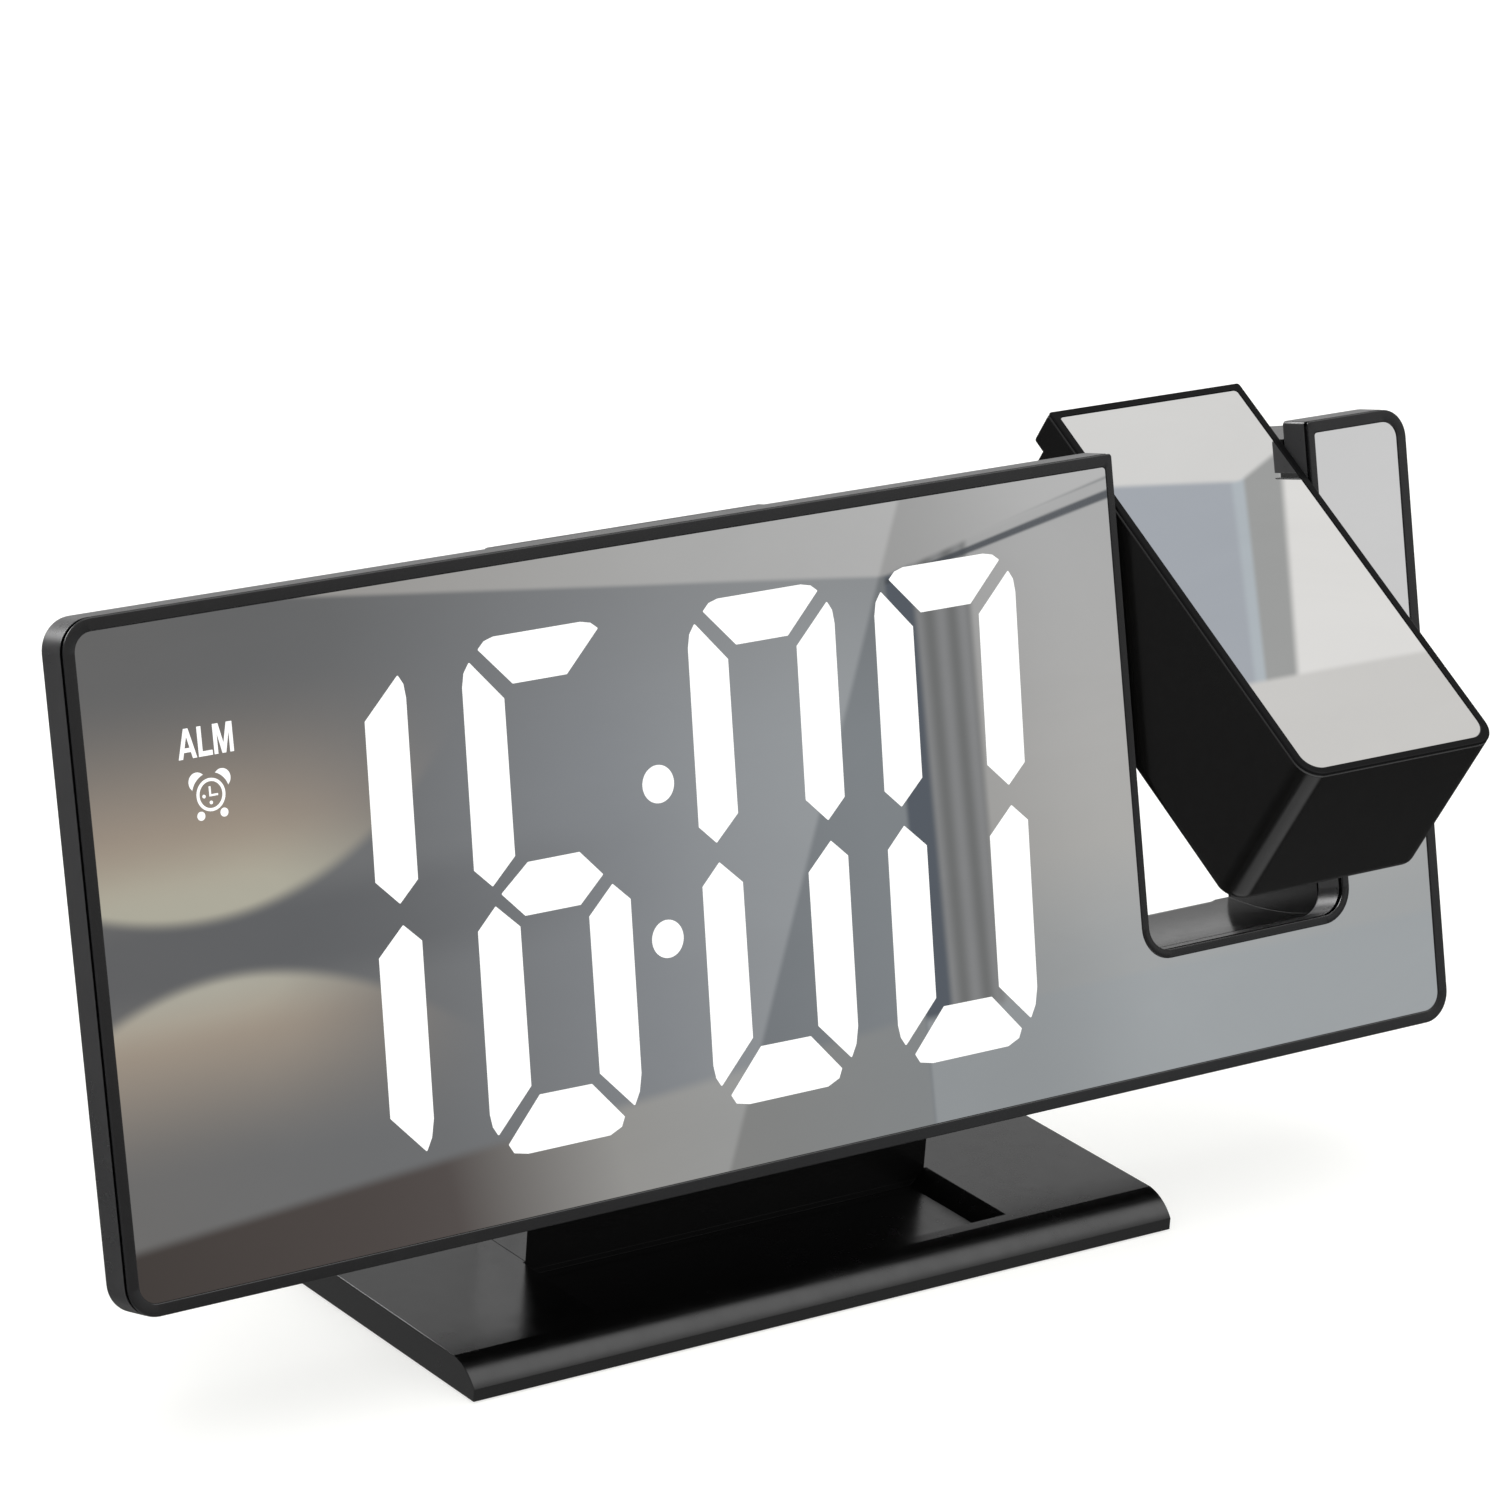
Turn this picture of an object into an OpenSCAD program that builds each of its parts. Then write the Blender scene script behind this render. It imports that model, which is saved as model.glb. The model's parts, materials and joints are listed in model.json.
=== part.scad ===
// Projection alarm clock: a leaning mirror display on a low stand, with a
// projector arm that turns in a notch at the right of the body.
// Frame: +Z up, +X to the right, the display faces -Y. The origin is the
// middle of the non-slip pad, on the surface that the clock stands on.

/* [Body] */
// Width of the display body
body_w = 195; // [190:1:200]
// Height of the display body, measured along its face
body_h = 78; // [77:0.5:80]
// Depth of the thin front slab
rim_d = 5; // [5:0.1:5.4]
// Depth of the body with its rear housing
body_d = 22.5; // [22.5:0.1:23]
// Lean of the body back from upright, in degrees
tilt = 15.2; // [14:0.2:16]
// Radius of the body's outer corners
corner_r = 3.8; // [3.7:0.1:4.6]
// Wall of the rear cover
wall = 1.8; // [1.6:0.1:2]
// Step from the slab's edge down to the rear cover
step = 2.3; // [2.2:0.1:2.6]

/* [Front] */
// Width of the dark frame around the mirror
frame_w = 1.5; // [1.4:0.1:1.8]
// Thickness of the mirror panel
mirror_t = 1.8; // [1.6:0.05:1.8]
// Depth of the mirror's face behind the frame's face
mirror_sink = 0.15; // [0.1:0.05:0.2]

/* [Digits] */
// Half of a digit's width
dig_hw = 10.8; // [10:0.1:11]
// Half of a digit's height
dig_hh = 29.7; // [28:0.1:30]
// Width of a digit's strokes
stroke = 5.65; // [5:0.05:6]
// Height of the digits' middle on the face
dig_z = 38.7; // [38:0.1:39.5]
// Sideways lean of the digits, as run over rise
slant = 0.034; // [0:0.002:0.05]

/* [Projector arm] */
// Left edge of the notch for the arm
notch_x = 50.1; // [50:0.1:50.4]
// Width of the notch
notch_w = 31.4; // [31:0.1:31.6]
// Height of the notch's floor on the face
notch_z = 16.35; // [16.2:0.05:16.4]
// Gap on each side of the arm
arm_gap = 0.4; // [0.35:0.05:0.5]
// Length of the arm
arm_l = 61; // [60.6:0.1:61]
// Depth of the arm
arm_d = 23.5; // [23.5:0.1:23.6]
// Distance of the hinge below the arm's top
hinge_drop = 12; // [11.9:0.05:12.2]
// Swing of the arm out of its notch, in degrees
swing = 45.5; // [44:0.5:46]
// Radius of the arm's hinge pins
pin_r = 3.5; // [3.4:0.05:3.6]

/* [Stand] */
// Width of the stand's base
base_w = 104; // [100:1:110]
// Depth of the stand's base
base_dp = 50; // [50:0.5:54]
// Thickness of the stand's base
base_t = 4.1; // [4.1:0.05:4.3]
// Width of the upright
neck_w = 60; // [58:0.5:60]
// Height of the body's lower front edge above the table
lift = 19.3; // [19:0.1:19.8]

/* [Hidden] */
$fn = 64;
e = 0.01;

pad_h = 0.2;                       // base underside above the table
by = -base_dp/2 + 1.9;             // body's lower front edge, y
bz = lift;                         // body's lower front edge, z
hx = arm_d/2;                      // pivot behind the arm's face
piv_v = hx;
piv_u = body_h - hinge_drop;
arm_x = notch_x + notch_w/2;
arm_hw = notch_w/2 - arm_gap;
arm_bot = arm_l - hinge_drop;      // pivot to the arm's lower end
lip = 2;                           // slab above the arm's housing top
top_z = hinge_drop - lip;          // arm housing's top, from the pivot
notch_r = 3.2;
lens_y = 1.75;                     // lens axis behind the pivot
neck_f = by + 20;                  // front face of the upright
digits = [[-65.5, "bc"], [-36.5, "acdefg"], [-4.7, "abcdef"], [22.65, "abcdef"]];
btn_x = [for (i = [0:5]) -58 + 13*i];
btn_u = 63;
// case screws: place on the face, and whether a circuit board is clamped there
screw_at = [[-79, 9, 0], [-79, 69, 1], [-40, 71, 1], [38, 69, 1], [88, 50, 0], [88, 9, 1], [43.5, 24, 0]];
board_v = 11;                      // front face of the main board
board_t = 1.5;
er = 1.6;                          // rounding of the arm's lower rear edge
seam = 0.4;                        // depth of the front caps' visible edge

// ---------- helpers ----------
module in_body() translate([0, by, bz]) rotate([-tilt, 0, 0]) children();
module in_arm() in_body() translate([arm_x, piv_v, piv_u]) rotate([-swing, 0, 0]) children();
// a flat shape in the face's plane, from depth v0 to depth v1 behind the face
module lay(v0, v1) translate([0, v1, 0]) rotate([90, 0, 0]) linear_extrude(v1 - v0) children();
// the same in the arm, whose origin is its pivot
module alay(v0, v1) translate([0, v1 - hx, 0]) rotate([90, 0, 0]) linear_extrude(v1 - v0) children();
// a rod along +Y from depth v0 to v1
module rod(x, u, v0, v1, r) translate([x, v1, u]) rotate([90, 0, 0]) cylinder(h = v1 - v0, r = r);
// a rod along X
module xrod(x0, x1, r) translate([x0, 0, 0]) rotate([0, 90, 0]) cylinder(h = x1 - x0, r = r);

module rrect(x0, y0, x1, y1, r) {
  translate([x0 + r, y0]) square([x1 - x0 - 2*r, y1 - y0]);
  translate([x0, y0 + r]) square([x1 - x0, y1 - y0 - 2*r]);
  for (x = [x0 + r, x1 - r], y = [y0 + r, y1 - r]) translate([x, y]) circle(r);
}
module notch2d(k) {
  r = notch_r + k;
  x0 = notch_x - k; x1 = notch_x + notch_w + k; y0 = notch_z - k;
  translate([x0 + r, y0]) square([x1 - x0 - 2*r, body_h]);
  translate([x0, y0 + r]) square([x1 - x0, body_h]);
  for (x = [x0 + r, x1 - r]) translate([x, y0 + r]) circle(r);
}
// the body's outline, k inside its edge; the frame is narrower at the notch
module outline(k) difference() {
  rrect(-body_w/2 + k, k, body_w/2 - k, body_h - k, max(corner_r - k, 0.6));
  notch2d(0.7*k);
}
module ring(k0, k1) difference() { outline(k0); outline(k1); }

// the arm's outline: square top corners, round lower ones
module arm2d(k, top = hinge_drop) {
  r = max(3 - k, 0.5);
  x = arm_hw - k; y0 = -arm_bot + k;
  translate([-x, y0 + r]) square([2*x, top - k - y0 - r]);
  translate([-x + r, y0]) square([2*(x - r), r + e]);
  for (s = [-1, 1]) translate([s*(x - r), y0 + r]) circle(r);
}

// one segment of a digit, about the digit's middle
module seg(n) {
  w = dig_hw; h = dig_hh; s = stroke; m = 0.4; g = 3.05;
  if (n == "a") polygon([[-w + 2.2, h - 1.1], [-w + 4.6, h], [w - 4.6, h], [w - 2.6, h - 1.1],
    [w - s - 1.4, h - s], [-w + s + 1.3, h - s]]);
  if (n == "d") polygon([[-w + 2.2, -h + 1.2], [-w + 4.6, -h], [w - 4.6, -h], [w - 2.6, -h + 1.4],
    [w - s - 1.4, -h + s + 0.6], [-w + s + 1.3, -h + s + 0.6]]);
  if (n == "g") polygon([[-w + 3.6, m], [-w + 7.2, m + g], [w - 7, m + g], [w - 3.7, m],
    [w - 7, m - g], [-w + 7, m - g]]);
  if (n == "f") polygon([[-w + 0.9, h - 2.3], [-w, h - 5.2], [-w, m + 3.2], [-w + 2.3, m + 1.1],
    [-w + s, m + 4.1], [-w + s, h - 7.1]]);
  if (n == "b") polygon([[w - 1.4, h - 2.4], [w - 0.4, h - 5.2], [w - 0.4, m + 3.4], [w - 2.6, m + 1.2],
    [w - s - 0.4, m + 4.1], [w - s - 0.4, h - 7]]);
  if (n == "e") polygon([[-w + 2.3, m - 1.2], [-w + s, m - 4.1], [-w + s, -h + 7.7], [-w + 0.9, -h + 2.7],
    [-w, -h + 5.3], [-w, m - 3.7]]);
  if (n == "c") polygon([[w - 2.6, m - 1.2], [w, m - 3.4], [w, -h + 6.2], [w - 1.2, -h + 2.7],
    [w - s - 0.3, -h + 7.3], [w - s - 0.3, m - 4.5]]);
}
// the face of the display: digits, leaning a little, and the colon
module digits2d() {
  for (d = digits) for (n = d[1]) translate([d[0], dig_z])
    multmatrix([[1, slant, 0, 0], [0, 1, 0, 0], [0, 0, 1, 0], [0, 0, 0, 1]]) seg(n);
  for (p = [[-20.8, 48.3], [-21.3, 30.2]]) translate(p) circle(2.25);
}
// alarm letters and a small bell clock
module indicators2d() {
  translate([-84.2, 60.75]) {
    polygon([[0, 0], [0.62, 0], [0.9, 0.75], [1.75, 0.75], [2, 0], [2.65, 0], [1.65, 3.4], [1, 3.4]]);
    translate([2.95, 0]) { square([0.65, 3.4]); square([1.85, 0.65]); }
    translate([5.1, 0]) polygon([[0, 0], [0.55, 0], [0.55, 2.3], [1, 0], [1.5, 0], [1.95, 2.3],
      [1.95, 0], [2.5, 0], [2.5, 3.4], [1.75, 3.4], [1.25, 1.1], [0.75, 3.4], [0, 3.4]]);
  }
  translate([-80.6, 56.4]) {
    difference() { circle(1.85); circle(1.4); }
    translate([-0.12, -0.1]) square([0.24, 1]);
    translate([-0.12, -0.1]) square([0.95, 0.24]);
    for (s = [-1, 1]) {
      translate([s*1.5, -2.2]) circle(0.5);
      translate([s*1.45, 1.45]) difference() {
        circle(1.15);
        translate([-s*1.45, -1.45]) circle(2.25);
      }
    }
  }
}
// pan-head screw along +Z, head down at z = 0
module screw(d, l, hd, hh) {
  difference() {
    cylinder(h = hh, d = hd);
    for (a = [0, 90]) rotate([0, 0, a]) translate([-hd*0.3, -hd*0.06, -e]) cube([hd*0.6, hd*0.12, hh*0.5]);
  }
  translate([0, 0, hh - e]) cylinder(h = l, d = d);
}

// ---------- stand ----------
module base_plate() color("#161617") difference() {
  // edges fall in a long arc to a short upright face
  translate([-base_w/2, 0, pad_h]) rotate([90, 0, 90]) linear_extrude(base_w) {
    h = base_t; d = base_dp/2; a = 5; b = h - 1.47;
    r = (a*a + b*b)/(2*b);
    intersection() {
      translate([-d, 0]) square([2*d, h]);
      union() {
        translate([-d + a, -1]) square([2*(d - a), h + 2]);
        for (s = [-1, 1]) translate([s*(d - a), h + 0.03 - r]) circle(r, $fn = 128);
      }
    }
  }
  // shallow tray in front of the upright, with sloping sides
  tray();
  // seat of the upright, and the ways down for its screws
  translate([-neck_w/2, neck_f, pad_h + base_t - 1.2]) cube([neck_w, 10, 3]);
  for (x = [-20, 20]) translate([x, neck_f + 5, 0]) { cylinder(h = 5, d = 2.4); cylinder(h = pad_h + 1.75, d = 5.4); }
  // pocket for the weight, and the pad's seat
  translate([-44.1, 7.7, 0]) cube([88.2, 10.8, pad_h + 3.1]);
  translate([-45, -19, -e]) cube([90, 38, pad_h + 0.65 + e]);
}
module tray() {
  zt = pad_h + base_t; f = -base_dp/2;
  intersection() {
    translate([-40, 0, 0]) rotate([90, 0, 90]) linear_extrude(80)
      polygon([[f + 6, zt + e], [f + 9.3, zt - 2], [neck_f, zt - 2], [neck_f, zt + e]]);
    translate([0, neck_f + 1, 0]) rotate([90, 0, 0]) linear_extrude(40)
      polygon([[-30.4, zt + e], [30.4, zt + e], [27.9, zt - 2], [-27.9, zt - 2]]);
  }
}
module base_weight() color("#8c8f93") difference() {
  translate([-44, 7.8, pad_h + 0.9]) cube([88, 10.6, 2.2]);
  for (x = [-41, 41]) translate([x, 13.1, -1]) cylinder(h = 5, d = 2.6);
}
module base_pad() color("#0e0e0e") linear_extrude(pad_h + 0.65) rrect(-45, -19, 45, 19, 3);
module stand_neck() color("#141415") difference() {
  intersection() {
    translate([-neck_w/2, 0, 0]) rotate([90, 0, 90]) linear_extrude(neck_w) neck2d();
    // rounded top corners of the plate behind the body
    in_body() lay(-20, 60) rrect(-neck_w/2, -60, neck_w/2, 21, 7);
  }
  // screw holes from below and from behind
  for (x = [-20, 20]) translate([x, neck_f + 5, 0]) cylinder(h = 9.4, d = 2.2);
  in_body() for (x = [-12, 12]) {
    rod(x, 15, body_d - 2, body_d + 8, 1.7);
    rod(x, 15, body_d + 2.4, body_d + 12, 3.4);
  }
}
// side view of the upright: from the base up to the body, then along its back
module neck2d() {
  s = sin(tilt); c = cos(tilt);
  v2 = body_d + 4.2;
  vb = (20 - step*s)/c;            // where the front meets the body's underside
  function p(v, u) = [by + v*c + u*s, bz + u*c - v*s];
  z0 = pad_h + base_t - 1.2;
  polygon([[neck_f, z0], [neck_f, p(vb, step)[1]], p(body_d, step), p(body_d, 21), p(v2 - 1, 21),
    p(v2, 20), [neck_f + 10, 12], [neck_f + 10, z0]]);
}
module base_screws() color("#9a9ca0") {
  for (x = [-20, 20]) translate([x, neck_f + 5, pad_h + 0.85]) screw(2.2, 7, 5, 0.9);
}
module neck_screws() color("#9a9ca0") in_body() for (x = [-12, 12])
  translate([x, body_d + 3.8, 15]) rotate([90, 0, 0]) screw(3.3, 6.4, 6, 1.4);

// ---------- front of the body ----------
module mid_frame() color("#3a3b3d") in_body() difference() {
  union() {
    lay(seam + 0.2, 2 + e) ring(0, 0.55);
    lay(2, rim_d) ring(0, 3);
  }
  trough(trough_r);
}
// cap around the mirror; a fine shadow gap parts it from the frame behind
module front_bezel() color("#2f3031") in_body() {
  lay(0, seam + e) ring(0, frame_w);
  lay(seam, 2) ring(0.6, frame_w);
}
module mirror_panel() color("#8f979d") in_body()
  lay(mirror_sink, mirror_sink + mirror_t) outline(frame_w + 0.05);
module light_mask() color("#1c1c1d") in_body() difference() {
  union() {
    lay(2.1, 4.7) outline(3.1);
    for (p = screw_at) rod(p[0], p[1], 4, board_v, 2.6);
  }
  lay(2, 5) { digits2d(); translate([-85.5, 53]) square([10, 12.4]); }
  for (p = screw_at) rod(p[0], p[1], 5.4, board_v + 1, 1.1);
}
module digit_windows() color("white") in_body() lay(2.15, 3) digits2d();
module indicator_windows() color("white") in_body() {
  lay(2.15, 2.6) indicators2d();
  lay(2.6 - e, 3.2) translate([-85.2, 53.3]) square([9.4, 11.8]);
}
module display_board() color("#1e5a35") in_body() lay(4.9, 6.3) difference() {
  rrect(-91, 5.5, 43, 72.5, 1);
  for (p = screw_at) translate([p[0], p[1]]) circle(2.9);
}
module segment_leds() color("#f3efd9") in_body() {
  for (d = digits) for (n = d[1]) {
    q = [["a", 0, 26.8], ["b", 7.3, 14], ["c", 7.7, -13], ["d", 0, -26.5],
         ["e", -7.9, -13], ["f", -7.9, 14], ["g", 0, 0.4]];
    for (k = q) if (k[0] == n) translate([d[0] + k[1] + slant*k[2] - 1.4, 4.1, dig_z + k[2] - 1]) cube([2.8, 0.8, 2]);
  }
  for (p = [[-20.8, 48.3], [-21.3, 30.2], [-80.5, 56.5], [-80.5, 62.2]])
    translate([p[0] - 0.8, 4.1, p[1] - 0.6]) cube([1.6, 0.8, 1.2]);
}

// ---------- rear of the body ----------
// plan of the rear cover at a depth, k inside its surface
module cover_plan(k) polygon([[-95 + k, rim_d + (k > 0 ? -1 : 0)], [95 - k, rim_d + (k > 0 ? -1 : 0)],
  [95 - k, 17], [90.5 - 0.6*k, body_d - k], [-83.3 + 0.6*k, body_d - k], [-84.8 + k, 20.5 - 0.5*k], [-95 + k, 7.5]]);
module cover_block(k) translate([0, 0, step + k]) linear_extrude(body_h - 2*step - 2*k) cover_plan(k);
module trough(r) translate([notch_x, piv_v, piv_u]) rotate([0, 90, 0]) cylinder(h = notch_w, r = r, $fn = 128);
trough_r = sqrt(pow(arm_bot, 2) + pow(hx, 2)) + 0.27;
module rear_cover() color("#151516") in_body() difference() {
  union() {
    difference() {
      cover_block(0);
      difference() {
        cover_block(wall);
        lay(0, body_d) notch2d(wall + 0.6);
      }
    }
    // screw posts, bosses for the upright and the buzzer's seat
    for (p = screw_at) rod(p[0], p[1], board_v + (p[2] > 0 ? board_t : 0), body_d - 1, 2.6);
    for (x = [-12, 12]) rod(x, 15, 15.5, body_d - 1, 3.4);
    difference() { rod(22, 32, 16.5, body_d - 1, 10); rod(22, 32, 10, body_d - 1 + e, 9); }
  }
  lay(0, body_d + 1) notch2d(0);
  trough(trough_r);
  // hinge bushes
  for (x = [notch_x - wall - 2, notch_x + notch_w - 1]) translate([x, piv_v, piv_u]) xrod(0, wall + 3, pin_r + 1);
  // screws: through hole and head recess
  for (p = screw_at) { rod(p[0], p[1], rim_d - 1, body_d + 1, 1.15); rod(p[0], p[1], body_d - 1.6, body_d + 1, 2.2); }
  // screws of the stand's upright
  for (x = [-12, 12]) rod(x, 15, 17.5, body_d + 1, 1.65);
  // buttons
  for (x = btn_x) lay(body_d - 3, body_d + 1) translate([x, btn_u]) rrect(-4.7, -2.9, 4.7, 2.9, 1.4);
  // snooze bar in the top
  translate([-30.2, 9.8, body_h - step - 3]) cube([40.4, 8.4, 4]);
  // battery door, and a finger notch above it
  lay(body_d - 3, body_d + 1) translate([-70.2, 12.8]) square([26.4, 26.4]);
  // sound holes
  for (i = [0:5]) rotate([0, 0, 0]) rod(22 + 4.6*cos(60*i), 32 + 4.6*sin(60*i), body_d - 3, body_d + 1, 0.7);
  for (i = [0:2]) rod(22 + 2*cos(120*i), 32 + 2*sin(120*i), body_d - 3, body_d + 1, 0.7);
  // vent slots
  for (i = [0:9]) lay(body_d - 3, body_d + 1) translate([-34 + 4*i, 44]) rrect(-0.7, 0, 0.7, 9, 0.65);
  // sockets
  lay(body_d - 3, body_d + 1) translate([40, 10.5]) rrect(-4.6, -1.75, 4.6, 1.75, 1.7);
  lay(body_d - 3, body_d + 1) translate([66, 9]) square([13.4, 5.9], center = true);
}
module cover_screws() color("#8e9094") in_body() for (p = screw_at)
  translate([p[0], body_d - 0.6, p[1]]) rotate([90, 0, 0]) screw(2.2, 13, 4, 1);
module main_board() color("#1e5a35") in_body() lay(board_v, board_v + board_t) difference() {
  rrect(-83, 42, 41, 73, 1);
  translate([-33, 66.5]) square([45.5, 10]);
  for (p = screw_at) translate([p[0], p[1]]) circle(1.25);
}
module power_board() color("#1e5a35") in_body() lay(board_v, board_v + board_t) difference() {
  rrect(33.5, 4.6, 91, 13.1, 0.8);
  for (p = screw_at) translate([p[0], p[1]]) circle(1.25);
}
// stacking connector between the display board and the main board
module board_connector() color("#cfae5a") in_body() {
  translate([-72, 8.8, 45]) cube([15, 2.2, 2.5]);
  for (i = [0:5]) translate([-70.75 + 2.4*i, 6.3, 45.95]) cube([0.6, 2.5 + e, 0.6]);
}
module board_chips() color("#232323") in_body() {
  translate([-20, 12.5, 50]) cube([12, 1.6, 9]);
  translate([4, 12.5, 46]) cube([7, 1.3, 6]);
  translate([20, 12.5, 48]) cube([4, 1.2, 5]);
  translate([28, 17, 55]) rotate([90, 0, 0]) cylinder(h = 4.5, r = 3);
  translate([-66, 12.5, 46]) cube([8, 2.4, 3]);
}
module tact_switches() color("#3b3d40") in_body() {
  for (x = btn_x) {
    translate([x - 2.9, 12.5, btn_u - 2.9]) cube([5.8, 1.6, 5.8]);
    rod(x, btn_u, 14, 14.4, 1.5);
  }
  // the snooze bar's switch, pressed downwards
  translate([-15.5, 12.5, 60.5]) cube([6, 3.6, 5.6]);
  translate([-12.5, 14.3, 66.1 - e]) cylinder(h = 1, r = 1.2);
}
module button_cap(x) in_body() {
  lay(17.6, body_d + 0.7) translate([x, btn_u]) rrect(-4.5, -2.7, 4.5, 2.7, 1.2);
  lay(19, body_d - wall - 0.15) translate([x, btn_u]) rrect(-5.6, -3.6, 5.6, 3.6, 1.4);
  rod(x, btn_u, 15.2, 18, 1.4);
}
module mark_bar(x, a) in_body() translate([x, body_d + 0.6, btn_u]) rotate([0, a, 0]) translate([-1.3, 0, -0.22]) cube([2.6, 0.22, 0.44]);
module button_time() color("#28292a") button_cap(btn_x[0]);
module button_alarm() color("#28292a") button_cap(btn_x[1]);
module button_up() color("#28292a") { button_cap(btn_x[2]); mark_bar(btn_x[2], 0); mark_bar(btn_x[2], 90); }
module button_down() color("#28292a") { button_cap(btn_x[3]); mark_bar(btn_x[3], 0); }
module button_mode() color("#28292a") button_cap(btn_x[4]);
module button_projector() color("#28292a") button_cap(btn_x[5]);
module snooze_button() color("#28292a") in_body() {
  z1 = body_h - step - wall - 0.15;
  translate([-30, 10, z1 - 0.5]) cube([40, 8, wall + 1.45]);
  translate([-31, 9.2, z1 - 1.6]) cube([42, 9.6, 1.6]);
  translate([-14, 12.8, 68]) cube([3, 3, z1 - 69]);
}
module buzzer() color("#101010") in_body() difference() {
  rod(22, 32, 14, body_d - wall - 0.3, 8.8);
  rod(22, 32, body_d - wall - 1.5, body_d, 1.6);
}
module usb_inlet() color("#a7a9ac") in_body() {
  difference() {
    lay(12.5, body_d - 0.3) translate([40, 10.5]) rrect(-4.47, -1.6, 4.47, 1.6, 1.55);
    lay(15.5, body_d) translate([40, 10.5]) rrect(-4.17, -1.3, 4.17, 1.3, 1.28);
  }
  lay(15, body_d - 1.2) translate([40, 10.5]) square([6.6, 0.7], center = true);
}
module usb_charge_port() color("#a7a9ac") in_body() {
  difference() {
    lay(12.5, body_d - 0.2) translate([66, 9]) square([13.1, 5.6], center = true);
    lay(13.5, body_d) translate([66, 9]) square([12.5, 5], center = true);
  }
  lay(13.4, body_d - 1.4) translate([66, 9.9]) square([11.1, 1.8], center = true);
}
module cell_holder() color("#1b1b1c") in_body() difference() {
  lay(14.6, body_d - wall) translate([-71.2, 11.8]) square([28.4, 28.4]);
  rod(-57, 26, 16.4, body_d, 10.3);
  lay(body_d - 2.6, body_d) translate([-70.2, 12.8]) square([26.4, 26.4]);
}
module coin_cell() color("#c9cbce") in_body() { rod(-57, 26, 16.7, 19.4, 10); rod(-57, 26, 19.4 - e, 19.8, 8.6); }
module cell_contacts() color("#d8c27a") in_body() {
  translate([-61, 16.42, 22]) cube([8, 0.25, 8]);
  translate([-60, 19.9, 34]) cube([6, 0.25, 5]);
}
module battery_door() color("#1a1a1b") in_body() difference() {
  union() {
    lay(body_d - 1.5, body_d) translate([-57, 26]) rrect(-13, -13, 13, 13, 1);
    for (s = [-1, 1]) lay(body_d - 2.2, body_d - 1.5 + e) translate([-57 + 10*s, 26]) square([3, 8], center = true);
  }
  for (i = [0:3]) lay(body_d - 0.4, body_d + 1) translate([-57, 30 + 1.8*i]) square([12, 0.7], center = true);
}

// ---------- hinge ----------
module bush(x0, x1, f) {
  difference() {
    union() { xrod(x0, x1, pin_r + 1); xrod(f, f + 1, pin_r + 2); }
    xrod(x0 - 3, x1 + 3, pin_r + 0.05);
  }
}
module hinge_bush_left() color("#d9d6cc") in_body() translate([0, piv_v, piv_u])
  bush(notch_x - wall - 0.6, notch_x, notch_x - wall - 1.6);
module hinge_bush_right() color("#d9d6cc") in_body() translate([0, piv_v, piv_u])
  bush(notch_x + notch_w, notch_x + notch_w + wall + 0.6, notch_x + notch_w + wall + 0.6);
module friction_washers() color("#b9bcc0") in_body() translate([0, piv_v, piv_u]) {
  for (x = [notch_x - wall - 2.4, notch_x + notch_w + wall + 1.65]) difference() {
    xrod(x, x + 0.7, pin_r + 2); xrod(x - 1, x + 2, pin_r + 0.08);
  }
}
// pins turn with the arm; the left one is hollow for the wires
module hinge_pin_left() color("#77797c") in_arm() difference() {
  x0 = notch_x - wall - 4.6 - arm_x;
  xrod(x0, -arm_hw + 3.4, pin_r);
  xrod(x0 - 1, -arm_hw + 5, pin_r - 1.3);
}
module hinge_pin_right() color("#77797c") in_arm()
  xrod(arm_hw - 3.4, notch_x + notch_w + wall + 4 - arm_x, pin_r);
module hinge_clips() color("#9c9ea1") in_arm() {
  for (x = [notch_x - wall - 3.5 - arm_x, notch_x + notch_w + wall + 2.5 - arm_x]) difference() {
    xrod(x, x + 0.9, pin_r + 1.8); xrod(x - 1, x + 2, pin_r);
  }
}

// ---------- projector arm ----------
module arm_housing() color("#1a1a1b") in_arm() difference() {
  union() {
    difference() {
      union() {
        alay(seam + 0.2, 2 + e) difference() { arm2d(0); arm2d(0.55); }
        alay(2, 5) arm2d(0);
        alay(5 - e, arm_d) arm2d(0, top_z);
      }
      alay(3.2, arm_d + 1) arm2d(1.8, top_z - 0.2);
    }
    // seats of the hinge pins and the screw posts of the rear cover
    for (s = [-1, 1]) translate([s*(arm_hw - 2) - 1.5, 0, 0]) xrod(0, 3, pin_r + 1.4);
    for (p = arm_screw_at) translate([p[0], p[1] > -10 ? 5 : -hx + 3, p[1]])
      rotate([-90, 0, 0]) cylinder(h = hx - 1.7 - (p[1] > -10 ? 5 : -hx + 3), r = 1.9);
  }
  // pins
  for (s = [-1, 1]) translate([s*arm_hw - 4, 0, 0]) xrod(0, 8, pin_r);
  // focus ring's hole in the top
  translate([0, lens_y, top_z - 6]) cylinder(h = 8, r = 6.85);
  for (p = arm_screw_at) translate([p[0], p[1] > -10 ? 5.5 : -2, p[1]]) rotate([-90, 0, 0]) cylinder(h = 15, d = 1.7);
  // rounded lower rear edge
  difference() {
    translate([-20, hx - er, -arm_bot - 1]) cube([40, er + 1, er + 1]);
    translate([0, hx - er, -arm_bot + er]) xrod(-21, 21, er);
  }
}
arm_screw_at = [for (s = [-1, 1]) for (z = [-4, -arm_bot + 5]) [s*(arm_hw - 3.5), z]];
module arm_bezel() color("#2f3031") in_arm() {
  alay(0, seam + e) difference() { arm2d(0); arm2d(1.35); }
  alay(seam, 2) difference() { arm2d(0.6); arm2d(1.35); }
}
module arm_mirror() color("#a9aeb1") in_arm() alay(mirror_sink, mirror_sink + mirror_t) arm2d(1.4);
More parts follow.
